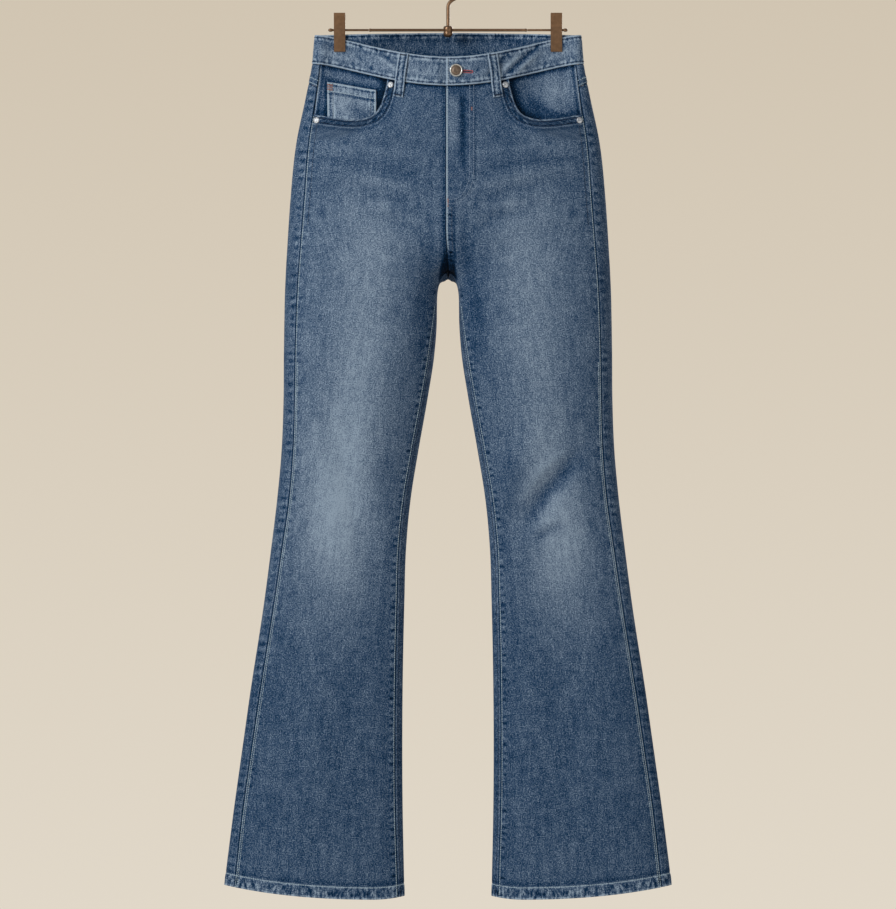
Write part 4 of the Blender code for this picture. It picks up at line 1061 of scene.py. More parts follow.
def coinPocket():
    wide, tall = coin["outerX"] - coin["innerX"], coin["footDrop"] - coin["outerDrop"]
    s, t = np.meshgrid(edgeSteps(wide, 40, 0.8) / wide, edgeSteps(tall, 32, 0.8) / tall)
    x = coin["innerX"] + wide * s
    top = coin["innerDrop"] + (coin["outerDrop"] - coin["innerDrop"]) * s
    drops = top + (coin["footDrop"] - top) * t
    bottom, top, tone, edge = coinRelief(x, drops)
    top, bottom = rounded(top, bottom, edge)
    marks = {"tone": tone, "seam": 12.0, "pucker": 0.7 - 0.5 * ease(edge, 8, 14)}
    turns = turnAt(x, drops, "front")
    clothPiece("coinPatch", ["coin_pocket"], "r", turns, drops, top, bottom, marks, denimLayers)


# Belt loops run from the waist's top edge over the seam below it
loops = {"width": 12.6, "thick": 1.8, "bulge": 1.4, "footDrop": 60.0, "tone": 0.62}
loopColumns = ("name", "side", "face", "topX", "footX")
loopRows = [
    ("belt_loop_front_r", "r", "front", 57.5, 65.0),
    ("belt_loop_front_l", "l", "front", 57.5, 65.0),
    ("belt_loop_side_r", "r", "back", 104.0, 106.0),
    ("belt_loop_side_l", "l", "back", 104.0, 106.0),
    ("belt_loop_back", "l", "back", 0.0, 0.0),
]
beltLoops = [dict(zip(loopColumns, row)) for row in loopRows]


# T runs down a loop from 0 to 1, and s across it from -0.5 to 0.5
def loopRelief(loop, t, s):
    drops = 0.4 + (loops["footDrop"] - 0.4) * t
    x = loop["topX"] + (loop["footX"] - loop["topX"]) * t + loops["width"] * s
    settle = ease(drops, bandHeight + 6, bandHeight + 14)
    standsOn = band["proud"] + seamGap - (band["proud"] - 0.1) * settle
    ridge = 0.3 * softLine(np.abs(s), 0.42, 0.09) + 0.1 * ripple(drops, 4.4, loop["topX"])
    edge = np.minimum((0.5 - np.abs(s)) * loops["width"], np.minimum(t, 1 - t) * (loops["footDrop"] - 0.4))
    tone = loops["tone"] + 0.2 * ripple(drops, 4.4, loop["topX"] + s) + 0.6 * softLine(edge, 0.6, 1.0)
    tone -= 0.75 * row((np.abs(s) - 0.27) * loops["width"], drops, width=1.0)
    tone += 0.14 * softLine(s, 0, 0.1) - 0.3 * softLine(drops - loops["footDrop"], -5, 2.0)
    bottom = standsOn + loops["bulge"] * np.sin(math.pi * t)
    return x, drops, bottom, bottom + loops["thick"] + ridge, tone, edge


def beltLoop(loop):
    tall = loops["footDrop"] - 0.4
    across = edgeSteps(loops["width"], 13, 0.9) / loops["width"] - 0.5
    t, s = np.meshgrid(edgeSteps(tall, 40, 0.9) / tall, across, indexing="ij")
    x, drops, bottom, top, tone, edge = loopRelief(loop, t, s)
    top, bottom = rounded(top, bottom, edge)
    name = loop["name"].replace("belt_loop", "loop")
    turns = turnAt(x, drops, loop["face"])
    marks = {"tone": tone, "seam": 12.0, "pucker": 0.8}
    clothPiece(name, [loop["name"]], loop["side"], turns, drops, top, bottom, marks, denimLayers)


# The back pocket: a five-sided patch
patch = {
    "x": 98.0,
    "topWidth": 124.0,
    "footWidth": 108.0,
    "innerDrop": 131.0,
    "outerDrop": 116.0,
    "sideHeight": 122.0,
    "point": 20.0,
    "hem": 15.0,
    "meanWidth": 116.0,
    "meanHeight": 130.0,
}


def patchPlace(s, t):
    width = patch["topWidth"] + (patch["footWidth"] - patch["topWidth"]) * t
    top = patch["innerDrop"] + (patch["outerDrop"] - patch["innerDrop"]) * s
    height = patch["sideHeight"] + patch["point"] * (1 - np.abs(2 * s - 1))
    sideEdge = np.minimum(np.minimum(s, 1 - s) * width, t * height)
    return patch["x"] + (s - 0.5) * width, top + height * t, sideEdge, height


def patchRelief(side, s, t):
    x, drops, sideEdge, height = patchPlace(s, t)
    toFoot = (1 - t) * height
    edge = np.minimum(sideEdge, toFoot)
    seamSide = np.minimum(np.minimum(s, 1 - s) * patch["topWidth"], toFoot)
    fromTop = t * height
    rope = knots(x + drops, 8.5, 2.0) * softBand(seamSide, 4.5, 4)
    ropeTop = knots(x, 8.5, 1.1) * softBand(fromTop, 7, 6)
    tone = washedAndShadedTone(side, "back", x, drops) + 0.03 + 0.12 * rope + 0.08 * ropeTop
    tone += 0.16 * softLine(edge, 0.5, 1.3) - 0.06 * softLine(seamSide, 10, 2.5)
    bottom = np.full(x.shape, seamGap)
    hemmed = 0.45 * (1 - ease(fromTop, patch["hem"] - 1, patch["hem"] + 1))
    top = bottom + clothThick + 0.12 * (rope + ropeTop) + hemmed
    return x, drops, bottom, top, tone, edge


def backPocket(side):
    wide, tall = patch["meanWidth"], patch["meanHeight"]
    s, t = np.meshgrid(edgeSteps(wide, 60, 0.8) / wide, edgeSteps(tall, 64, 0.8) / tall)
    x, drops, bottom, top, tone, edge = patchRelief(side, s, t)
    top, bottom = rounded(top, bottom, edge)
    turns = turnAt(x, drops, "back")
    marks = {"tone": tone, "seam": 12.0, "pucker": 0.6 * (1 - ease(edge, 8, 12))}
    name, nodes = f"backPatch_{side}", [f"back_pocket_{side}"]
    clothPiece(name, nodes, side, turns, drops, top, bottom, marks, denimLayers)


# The hem's turned-up layers inside the leg
def hem(side):
    levels = hemDrop - np.array([16.0, 15.5, 12.0, 8.0, 4.0, 1.2, 0.4])
    shares = evenButClose(80, 0.4)
    turns = []
    for level in levels:
        drop = np.full(len(shares), level)
        start, end = panelEnds(side, "front", drop)
        backStart, backEnd = panelEnds(side, "back", drop)
        front, back = start + (end - start) * shares, backStart + (backEnd - backStart) * shares
        turns.append(np.concatenate([front, back]))
    turns = np.array(turns)
    drops = np.broadcast_to(levels[:, None], turns.shape)
    base, normal = surface(side, turns, drops), outward(side, turns, drops)
    top = -(clothThick + seamGap)
    grids = [base + normal * h for h in (top, top - 1.4)]
    marks = {"tone": 0.5 + 0.1 * ripple(np.arange(turns.shape[1]) * 5.0, 11, 0.5), "seam": 12.0}
    piece = clothMesh(f"hemTurn_{side}", *grids, marks, ["denimInside", "denimInside"], tube=True)
    declareCloth(piece, [f"hem_{side}"])


# Behind the fly lie the zip's tape and the shield
def flyInside():
    zipTop = -(clothThick + 2 * seamGap)
    shieldTop = zipTop - fly["zipThickness"] - seamGap
    zipThick, end = fly["zipThickness"], fly["endDrop"]
    layers = (
        ("zipTape", "zip", 16.0, end - 12, zipTop, zipThick, "zipTape", "zip_metal"),
        ("shield", "fly_shield", 30.0, end + 4, shieldTop, clothThick, "denimInside", "denim_inside"),
    )
    for name, node, endX, endDrop, top, thick, look, slot in layers:
        levels = np.linspace(bandHeight + 1.0, endDrop, 60)
        drops = np.broadcast_to(levels[:, None], (60, 14))
        narrowed = np.sqrt(1 - 0.75 * ease(drops, endDrop - 40, endDrop) ** 2)
        x = -9.0 + (endX + 9.0) * np.linspace(0, 1, 14) * narrowed
        turns = turnAt(x, drops, "front")
        clothPiece(name, [node], "l", turns, drops, top, top - thick, {"tone": 0.45}, [look])


# Shader and geometry trees
def add(tree, kind, values=None, **settings):
    node = tree.nodes.new(kind)
    for key, value in settings.items():
        setattr(node, key, value)
    for key, value in (values or {}).items():
        if isinstance(value, bpy.types.NodeSocket):
            tree.links.new(value, node.inputs[key])
        else:
            node.inputs[key].default_value = value
    return node


def calc(tree, operation, a, b=0.0, clamp=False):
    return add(tree, "ShaderNodeMath", {0: a, 1: b}, operation=operation, use_clamp=clamp).outputs[0]


def addUp(tree, *terms):
    result = terms[0]
    for term in terms[1:]:
        result = calc(tree, "ADD", result, term)
    return result


def swing(tree, value, size, middle=0.5):
    return calc(tree, "MULTIPLY", calc(tree, "SUBTRACT", value, middle), size)


def blendColour(tree, factor, a, b):
    return add(tree, "ShaderNodeMix", {"Factor": factor, 6: a, 7: b}, data_type="RGBA").outputs[2]


def toLinear(*rgb):
    return tuple(((c / 255 + 0.055) / 1.055) ** 2.4 if c > 10 else c / 255 / 12.92 for c in rgb) + (1.0,)


# Frequencies are in turns a metre of cloth, and the other values say how strongly each shows in the tone
weave = {
    "ribs": 1500.0,
    "lean": 62.0,
    "ribShow": 0.05,
    "slubAcross": 660.0,
    "slubAlong": 220.0,
    "slubShow": 0.7,
    "grain": 640.0,
    "grainShow": 1.8,
    "mottle": 85.0,
    "mottleShow": 0.38,
    "streakAcross": 120.0,
    "streakAlong": 14.0,
    "streakShow": 0.34,
    "fineAcross": 340.0,
    "fineAlong": 46.0,
    "fineShow": 0.36,
    "blotch": 24.0,
    "blotchShow": 0.28,
    "puckerAcross": 250.0,
    "puckerAlong": 110.0,
    "puckerShow": 2.2,
}


def buildWeave():
    tree = bpy.data.node_groups.new("denimWeave", "ShaderNodeTree")
    sockets = (
        ("Tone", "NodeSocketFloat", 0.5),
        ("Seam", "NodeSocketFloat", 40.0),
        ("Pucker", "NodeSocketFloat", 0.0),
        ("Show", "NodeSocketFloat", 1.0),
        ("Dark", "NodeSocketColor", (0.01, 0.04, 0.1, 1)),
        ("Light", "NodeSocketColor", (0.3, 0.37, 0.45, 1)),
    )
    for label, kind, value in sockets:
        tree.interface.new_socket(label, in_out="INPUT", socket_type=kind).default_value = value
    for label, kind in (("Color", "Color"), ("Height", "Float"), ("Roughness", "Float")):
        tree.interface.new_socket(label, in_out="OUTPUT", socket_type="NodeSocket" + kind)
    start, end = tree.nodes.new("NodeGroupInput"), tree.nodes.new("NodeGroupOutput")
    coords = add(tree, "ShaderNodeUVMap", uv_map="cloth").outputs["UV"]

    def scaled(across, along, turn=0.0):
        values = {"Vector": coords, "Scale": (across, along, 1.0), "Rotation": (0, 0, math.radians(turn))}
        return add(tree, "ShaderNodeMapping", values).outputs[0]

    def noise(vector, scale, detail, rough=0.5):
        values = {"Vector": vector, "Scale": scale, "Detail": detail, "Roughness": rough}
        return add(tree, "ShaderNodeTexNoise", values).outputs[0]

    values = {"Vector": scaled(1, 1, weave["lean"]), "Scale": weave["ribs"] / 6.283, "Distortion": 1.0,
              "Detail": 1.0}
    ribs = add(tree, "ShaderNodeTexWave", values, bands_direction="Y").outputs["Fac"]
    slubs = noise(scaled(weave["slubAcross"], weave["slubAlong"]), 1.0, 2.0, 0.55)
    grain = noise(coords, weave["grain"], 1.5, 0.6)
    streaks = noise(scaled(weave["streakAcross"], weave["streakAlong"]), 1.0, 3.0, 0.6)
    fine = noise(scaled(weave["fineAcross"], weave["fineAlong"]), 1.0, 2.0, 0.5)
    blotch = noise(coords, weave["blotch"], 4.0, 0.6)
    puckers = noise(scaled(weave["puckerAcross"], weave["puckerAlong"]), 1.0, 2.0, 0.6)
    puckers = swing(tree, puckers, weave["puckerShow"])

    # Painted light along each seam: a dark line of painted shade in the seam's valley and a pale band of
    # painted highlight just beside it
    def paintedSeamLight(low, high, size):
        seam = start.outputs["Seam"]
        values = {"Value": seam, "From Min": low, "From Max": high, "To Min": size, "To Max": 0.0}
        return add(tree, "ShaderNodeMapRange", values, interpolation_type="SMOOTHSTEP").outputs[0]

    texture = addUp(
        tree,
        swing(tree, slubs, weave["slubShow"]),
        swing(tree, grain, weave["grainShow"]),
        swing(tree, ribs, weave["ribShow"]),
        swing(tree, noise(coords, weave["mottle"], 2.0, 0.6), weave["mottleShow"]),
    )
    show = calc(tree, "SUBTRACT", 1.3, calc(tree, "MULTIPLY", start.outputs["Tone"], 0.6))
    texture = calc(tree, "MULTIPLY", calc(tree, "MULTIPLY", texture, start.outputs["Show"]), show)
    tone = addUp(
        tree,
        texture,
        swing(tree, streaks, weave["streakShow"]),
        swing(tree, fine, weave["fineShow"]),
        swing(tree, blotch, weave["blotchShow"]),
        start.outputs["Tone"],
        calc(tree, "MULTIPLY", puckers, start.outputs["Pucker"]),
        paintedSeamLight(1.4, 3.2, 0.2),
        paintedSeamLight(0.2, 1.5, -0.5),
    )
    above = calc(tree, "MAXIMUM", tone, 0.0)
    factor = calc(tree, "MULTIPLY", above, above, clamp=True)
    height = addUp(tree, calc(tree, "MULTIPLY", ribs, 0.5), calc(tree, "MULTIPLY", slubs, 0.8),
                   calc(tree, "MULTIPLY", grain, 0.8))
    rough = calc(tree, "ADD", calc(tree, "MULTIPLY", grain, 0.14), 0.8)
    colour = blendColour(tree, factor, start.outputs["Dark"], start.outputs["Light"])
    values = {"Value": tone, "From Min": -0.5, "From Max": 0.3, "To Min": 0.12, "To Max": 1.0}
    shade = add(tree, "ShaderNodeMapRange", values).outputs[0]
    shaded = add(tree, "ShaderNodeVectorMath", {0: colour, "Scale": shade}, operation="SCALE").outputs[0]
    for key, value in (("Color", shaded), ("Height", height), ("Roughness", rough)):
        tree.links.new(value, end.inputs[key])
    return tree


denimLooks = {
    "denim": {"dark": (18, 59, 96), "light": (157, 175, 192), "show": 1.0},
    "denimInside": {"dark": (62, 78, 100), "light": (176, 186, 196), "show": 0.8},
}

materials = {}


def principled(name, colour, roughness, metallic=0.0):
    material = bpy.data.materials.new(name)
    material.use_nodes = True
    tree = material.node_tree
    shader = tree.nodes["Principled BSDF"]
    shader.inputs["Roughness"].default_value = roughness
    shader.inputs["Metallic"].default_value = metallic
    shader.inputs["Base Color"].default_value = colour
    materials[name] = material
    return tree, shader


def buildDenim():
    group = buildWeave()
    for name, look in denimLooks.items():
        tree, shader = principled(name, toLinear(*look["dark"]), 0.9)
        cloth = tree.nodes.new("ShaderNodeGroup")
        cloth.node_tree = group
        for key, label in (("tone", "Tone"), ("seam", "Seam"), ("pucker", "Pucker")):
            source = add(tree, "ShaderNodeAttribute", attribute_name=key)
            tree.links.new(source.outputs["Fac"], cloth.inputs[label])
        cloth.inputs["Dark"].default_value = toLinear(*look["dark"])
        cloth.inputs["Light"].default_value = toLinear(*look["light"])
        cloth.inputs["Show"].default_value = look["show"]
        tree.links.new(cloth.outputs["Color"], shader.inputs["Base Color"])
        tree.links.new(cloth.outputs["Roughness"], shader.inputs["Roughness"])
        values = {"Height": cloth.outputs["Height"], "Distance": 0.00035, "Strength": 0.8}
        bump = add(tree, "ShaderNodeBump", values)
        tree.links.new(bump.outputs[0], shader.inputs["Normal"])
        shader.inputs["Specular IOR Level"].default_value = 0.06


# Colour, roughness, metal, the pattern's frequency and how far its colour swings
plainColumns = ("colour", "roughness", "metallic", "scale", "change")
plainLooks = {
    "pocketing": ((196, 190, 176), 0.9, 0.0, 600, 0.10),
    "zipTape": ((40, 52, 70), 0.9, 0.0, 900, 0.14),
    "threadPale": ((172, 190, 208), 0.75, 0.0, 1600, 0.2),
    "threadGrey": ((126, 144, 164), 0.75, 0.0, 1600, 0.2),
    "threadNavy": ((26, 38, 58), 0.75, 0.0, 1600, 0.25),
    "threadRust": ((160, 112, 96), 0.75, 0.0, 1600, 0.2),
    "threadRose": ((176, 92, 96), 0.75, 0.0, 1600, 0.2),
    "bronze": ((122, 94, 70), 0.34, 0.7, 240, 0.12),
    "rivetNickel": ((184, 188, 192), 0.34, 0.8, 500, 0.18),
    "buttonRim": ((206, 204, 198), 0.3, 0.8, 500, 0.15),
    "buttonFace": ((104, 90, 78), 0.5, 0.7, 700, 0.3),
    "buttonDots": ((62, 52, 46), 0.6, 0.4, 700, 0.2),
    "zipBrass": ((140, 112, 70), 0.4, 0.9, 700, 0.2),
}


def buildPlainLooks():
    for name, row in plainLooks.items():
        look = dict(zip(plainColumns, row))
        rgb = look["colour"]
        tree, shader = principled(name, toLinear(*rgb), look["roughness"], look["metallic"])
        coords = add(tree, "ShaderNodeTexCoord").outputs["Object"]
        values = {"Vector": coords, "Scale": float(look["scale"]), "Detail": 3.0}
        noise = add(tree, "ShaderNodeTexNoise", values).outputs[0]
        dark = toLinear(*[c * (1 - 1.6 * look["change"]) for c in rgb])
        light = toLinear(*[min(255, c * (1 + 1.6 * look["change"])) for c in rgb])
        tree.links.new(blendColour(tree, noise, dark, light), shader.inputs["Base Color"])
        rough = calc(tree, "ADD", calc(tree, "MULTIPLY", noise, 0.2), look["roughness"] - 0.1)
        tree.links.new(rough, shader.inputs["Roughness"])
        bump = add(tree, "ShaderNodeBump", {"Height": noise, "Distance": 0.0001, "Strength": 0.25})
        tree.links.new(bump.outputs[0], shader.inputs["Normal"])


# A geometry tree's inputs and its output. Each input after the path is given by its name and kind.
def geometrySockets(tree, **kinds):
    for label, kind in {"Geometry": "Geometry", **kinds}.items():
        tree.interface.new_socket(label, in_out="INPUT", socket_type="NodeSocket" + kind)
    tree.interface.new_socket("Geometry", in_out="OUTPUT", socket_type="NodeSocketGeometry")
    start, end = tree.nodes.new("NodeGroupInput"), tree.nodes.new("NodeGroupOutput")
    return start.outputs, end


# Stitches, teeth and dots: small rounded grains set along a path at an even pitch
def buildGrainTree():
    tree = bpy.data.node_groups.new("grainsAlongPath", "GeometryNodeTree")
    get, end = geometrySockets(tree, Pitch="Float", Length="Float", Thickness="Float", Turn="Float",
                               Unevenness="Float", Segments="Int", Finish="Material")
    curve = add(tree, "GeometryNodeMeshToCurve", {"Mesh": get["Geometry"]}).outputs[0]
    spaced = {"Curve": curve, "Length": get["Pitch"]}
    spaced = add(tree, "GeometryNodeResampleCurve", spaced, mode="LENGTH").outputs[0]
    grain = {"Segments": get["Segments"], "Rings": 4, "Radius": 0.5}
    grain = add(tree, "GeometryNodeMeshUVSphere", grain).outputs[0]
    tangent = add(tree, "GeometryNodeInputTangent").outputs[0]
    out = add(tree, "GeometryNodeInputNamedAttribute", {"Name": "out"}, data_type="FLOAT_VECTOR")
    upright = {"Vector": out.outputs["Attribute"]}
    upright = add(tree, "FunctionNodeAlignRotationToVector", upright, axis="Z").outputs[0]
    along = {"Rotation": upright, "Vector": tangent}
    along = add(tree, "FunctionNodeAlignRotationToVector", along, axis="X", pivot_axis="Z").outputs[0]

    def random(low, high, seed):
        values = {2: low, 3: high, "Seed": seed}
        return add(tree, "FunctionNodeRandomValue", values, data_type="FLOAT").outputs[1]

    wobble = calc(tree, "MULTIPLY", random(-0.35, 0.35, 3), get["Unevenness"])
    angle = calc(tree, "ADD", get["Turn"], wobble)
    euler = add(tree, "ShaderNodeCombineXYZ", {"Z": angle}).outputs[0]
    turn = add(tree, "FunctionNodeEulerToRotation", {"Euler": euler}).outputs[0]
    turned = {"Rotation": along, "Rotate By": turn}
    turned = add(tree, "FunctionNodeRotateRotation", turned, rotation_space="LOCAL").outputs[0]
    grow = calc(tree, "ADD", 1.0, calc(tree, "MULTIPLY", random(-1.0, 1.0, 5), get["Unevenness"]))
    length = calc(tree, "MULTIPLY", get["Length"], grow)
    size = {"X": length, "Y": get["Thickness"], "Z": get["Thickness"]}
    size = add(tree, "ShaderNodeCombineXYZ", size).outputs[0]
    values = {"Points": spaced, "Instance": grain, "Rotation": turned, "Scale": size}
    placed = add(tree, "GeometryNodeInstanceOnPoints", values).outputs[0]
    real = add(tree, "GeometryNodeRealizeInstances", {"Geometry": placed}).outputs[0]
    smooth = add(tree, "GeometryNodeSetShadeSmooth", {"Geometry": real}).outputs[0]
    done = add(tree, "GeometryNodeSetMaterial", {"Geometry": smooth, "Material": get["Finish"]}).outputs[0]
    tree.links.new(done, end.inputs["Geometry"])
    return tree


# A round wire or coil along a path
def buildWireTree():
    tree = bpy.data.node_groups.new("wireAlongPath", "GeometryNodeTree")
    get, end = geometrySockets(tree, Radius="Float", Segments="Int", Finish="Material")
    curve = add(tree, "GeometryNodeMeshToCurve", {"Mesh": get["Geometry"]}).outputs[0]
    ring = {"Resolution": get["Segments"], "Radius": get["Radius"]}
    ring = add(tree, "GeometryNodeCurvePrimitiveCircle", ring).outputs[0]
    values = {"Curve": curve, "Profile Curve": ring, "Fill Caps": True}
    tube = add(tree, "GeometryNodeCurveToMesh", values).outputs[0]
    real = add(tree, "GeometryNodeRealizeInstances", {"Geometry": tube}).outputs[0]
    done = add(tree, "GeometryNodeSetMaterial", {"Geometry": real, "Material": get["Finish"]}).outputs[0]
    tree.links.new(done, end.inputs["Geometry"])
    return tree


# Runs a geometry tree over paths, each a pair of points and outward directions in millimetres
def alongPaths(name, tree, paths, inputs):
    points = np.concatenate([path[0] for path in paths]) * mm
    outs = np.concatenate([path[1] for path in paths])
    edges, first = [], 0
    for path in paths:
        count = len(path[0])
        edges += [(first + i, first + i + 1) for i in range(count - 1)]
        first += count
    mesh = bpy.data.meshes.new(name)
    mesh.from_pydata(points.tolist(), edges, [])
    outwards = mesh.attributes.new("out", "FLOAT_VECTOR", "POINT")
    outwards.data.foreach_set("vector", outs.astype(np.float32).ravel())
    piece = place(bpy.data.objects.new(name, mesh))
    made = piece.modifiers.new("path", "NODES")
    made.node_group = tree
    for item in tree.interface.items_tree:
        if item.in_out == "INPUT" and item.name in inputs:
            made[item.identifier] = inputs[item.name]
    applyModifiers(piece)
    if "out" in piece.data.attributes:
        piece.data.attributes.remove(piece.data.attributes["out"])
    return piece


stitch = {"pitch": 3.1, "length": 2.7, "thickness": 0.9, "lift": 0.1, "unevenness": 0.12}


def sew(name, paths, look, pitch=None, length=None, thickness=None, turn=0.0, segments=6):
    inputs = {
        "Pitch": (pitch or stitch["pitch"]) * mm,
        "Length": (length or stitch["length"]) * mm,
        "Thickness": (thickness or stitch["thickness"]) * mm,
        "Turn": turn,
        "Unevenness": stitch["unevenness"],
        "Segments": segments,
        "Finish": materials[look],
    }
    return declare(alongPaths(name, grainTree, paths, inputs))


def onPanel(side, face, turns, drops, lift=None):
    turns, drops = np.broadcast_arrays(np.asarray(turns, float), np.asarray(drops, float))
    height = panelRelief(side, face, turns, drops)[0] if face != "yoke" else yokeRelief(side, turns, drops)[0]
    return lifted(side, turns, drops, height + (stitch["lift"] if lift is None else lift))


# A row beside a panel's start or end, a distance away in millimetres
def besideSeam(side, face, atStart, distance, drops):
    start, end = panelEnds(side, face, drops)
    turn = start if atStart else end
    step = distance / turnSpeed(side, turn, drops)
    return onPanel(side, face, turn + step if atStart else turn - step, drops)


def onX(side, face, x, drops, lift=None):
    return onPanel(side, face, turnAt(x, drops, face), drops, lift)


def panelStitches():
    pale, navy, grey = [], [], []
    legDrops = np.arange(crotchDrop + 45, hemDrop, 2.0)
    outDrops = np.arange(107.0, hemDrop, 2.0)
    sewnDrop = hemDrop - hemHeight + 0.6
    for side in sides:
        pale.append(besideSeam(side, "front", False, 1.7, outDrops))
        navy.append(besideSeam(side, "front", False, 8.0, np.arange(110.0, 250.0, 2.0)))
        pale.append(besideSeam(side, "front", False, 4.1, np.arange(430.0, hemDrop, 2.0)))
        pale.append(besideSeam(side, "front", True, 1.8, legDrops))
        navy.append(besideSeam(side, "back", False, 4.2, legDrops))
        for face in ("front", "back"):
            drops = np.full(90, sewnDrop)
            start, end = panelEnds(side, face, drops)
            pale.append(onPanel(side, face, start + (end - start) * np.linspace(0.004, 0.996, 90), drops))
        for inset in pocket["rows"]:
            navy.append(mouthRow(side, inset))
        seat = np.arange(yokes["backDrop"] + 3, crotchDrop - 28, 2.0)
        if side == "l":
            for distance in (2.0, 8.0):
                pale.append(besideSeam(side, "back", False, distance, seat))
        shares = np.linspace(0.01, 0.99, 90)
        for inset in (2.2, 8.2):
            turns = backTurns(side, np.full(90, yokes["levelDrop"]), shares)
            pale.append(onPanel(side, "yoke", turns, yokeDrop(turns) - inset))
    flyDrops = np.arange(bandHeight + 2, fly["endDrop"] + 4, 2.0)
    pale.append(besideSeam("l", "front", True, 1.5, flyDrops))
    for spread in (0.0, -5.2):
        down = np.linspace(bandHeight + 2, fly["turnDrop"], 60)
        bend = np.linspace(0, math.pi / 2, 30)[1:]
        x = np.concatenate([np.full(60, fly["rowX"]), 2 + (fly["rowX"] - 2) * np.cos(bend) ** 0.8])
        x += spread * np.concatenate([np.ones(60), np.cos(bend)])
        drops = np.concatenate([down, fly["turnDrop"] + (46 + spread) * np.sin(bend)])
        grey.append(onX("l", "front", x, drops))
    rise = np.arange(fly["endDrop"] + 6, crotchDrop - 30, 2.0)
    for distance, rows in ((1.6, pale), (7.4, navy)):
        rows.append(besideSeam("l", "front", True, distance, rise))
    return pale, navy, grey


def mouthRow(side, inset):
    x, drops = mouthLine(60)
    step = np.stack([np.gradient(x), np.gradient(drops)])
    step = step / np.linalg.norm(step, axis=0)
    x, drops = x - step[1] * inset, drops + step[0] * inset
    keep = (drops > bandHeight + 1) & (x < section("outer", drops) - section("outseam", drops) * 1.12)
    return onX(side, "front", x[keep], drops[keep])


def bandStitches():
    rows = []
    end = bandFoot
    for side in sides:
        x0 = -fly["shift"] + 3.0 if side == "l" else fly["shift"] + 1.0
        for drop in (band["stitchInset"], end - band["stitchInset"]):
            drops = np.full(220, drop)
            start = turnAt(np.full(220, x0), drops, "front")
            turns = start + (0.996 - start) * np.linspace(0, 1, 220)
            rows.append(lifted(side, turns, drops, bandRelief(side, turns, drops)[0] + 0.1))
    drops = np.linspace(band["stitchInset"], end - band["stitchInset"], 20)
    rows.append(bandSpot(np.full(20, -fly["shift"] + 3.0), drops, 0.1))
    return rows


def onLoop(loop, t, s, lift):
    x, drops, _, high, _, _ = loopRelief(loop, t, s)
    return lifted(loop["side"], turnAt(x, drops, loop["face"]), drops, high + lift)


def onCoin(x, drops, lift=0.05):
    return lifted("r", turnAt(x, drops, "front"), drops, coinRelief(x, drops)[1] + lift)


def onPatch(side, s, t):
    x, drops, _, high, _, _ = patchRelief(side, s, t)
    return lifted(side, turnAt(x, drops, "back"), drops, high + 0.05)


def smallPieceStitches():
    pale, navy = [], []
    for loop in beltLoops:
        for s in (-0.27, 0.27):
            t = np.linspace(0.05, 0.95, 40)
            navy.append(onLoop(loop, t, np.full(40, s), 0.05))
    wide = coin["outerX"] - coin["innerX"]

    s = np.linspace(0.03, 0.97, 30)
    x = coin["innerX"] + wide * s
    top = coin["innerDrop"] + (coin["outerDrop"] - coin["innerDrop"]) * s
    pale.append(onCoin(x, top + 1.9))
    pale.append(onCoin(x, top + coin["hem"] - 1.2))
    for inset, rows in ((2.0, pale), (7.5, navy)):
        for edgeX in (coin["innerX"] + inset, coin["outerX"] - inset):
            drops = np.linspace(coin["outerDrop"] + 1.5, coin["footDrop"] - 6, 24)
            rows.append(onCoin(np.full(24, edgeX), drops))
    for side in sides:
        for inset in (2.2, 8.0):
            u = inset / patch["topWidth"]
            tall = 1 - inset / patch["meanHeight"]
            left = np.stack([np.full(40, u), np.linspace(0.01, tall, 40)])
            foot = np.stack([np.linspace(u, 1 - u, 60), np.full(60, tall)])
            right = np.stack([np.full(40, 1 - u), np.linspace(tall, 0.01, 40)])
            s, t = np.concatenate([left, foot[:, 1:-1], right], axis=1)
            pale.append(onPatch(side, s, t))
        hemRow = (patch["hem"] - 1.5) / patch["meanHeight"]
        pale.append(onPatch(side, np.linspace(0.03, 0.97, 50), np.full(50, hemRow)))
    return pale, navy


# A bar tack is a short row of stitches set close together, each across the row
def tackRow(points, normals, size):
    middle = (points[0] + points[-1]) / 2
    along = points[-1] - points[0]
    along = along / np.linalg.norm(along) * size / 2
    return np.stack([middle - along, middle, middle + along]), np.stack([normals[0]] * 3)


def barTacks():
    rust, navy = [], []
    rust.append(tackRow(*onX("l", "front", np.array([-0.2, -0.2]), np.array([216.0, 226.0]), 0.25), 10.0))
    rust.append(tackRow(*onX("l", "front", np.array([31.0, 31.0]), np.array([71.0, 75.0]), 0.25), 4.0))
    x = np.array([152.0, 157.0])
    for drop in (62.3, 65.4, 68.5):
        rust.append(tackRow(*onCoin(x, np.full(2, drop), 0.2), 6.5))
    for loop in beltLoops:
        for t in (0.045, 0.955):
            navy.append(tackRow(*onLoop(loop, np.full(2, t), np.array([-0.34, 0.34]), 0.15), 9.0))
    for side in sides:
        for s in (0.035, 0.965):
            rust.append(tackRow(*onPatch(side, np.full(2, s), np.array([0.015, 0.08])), 8.0))
    return rust, navy


def buttonholeThread():
    middleX = np.linspace(band["holeStartX"] + 1.0, band["holeEndX"], 24)
    share = (middleX - band["buttonX"]) / (band["holeEndX"] - band["buttonX"])
    half = band["holeWidth"] / 2 + 0.7
    bend = np.linspace(-math.pi / 2, math.pi / 2, 12)
    x = np.concatenate([middleX, band["holeEndX"] + half * np.cos(bend), middleX[::-1]])
    lean = np.concatenate([share, np.ones(12), share[::-1]]) * band["holeLean"]
    beside = np.concatenate([np.full(24, -half), half * np.sin(bend), np.full(24, half)])
    drops = band["buttonDrop"] + lean + beside
    return [bandSpot(x, drops, 0.12)]


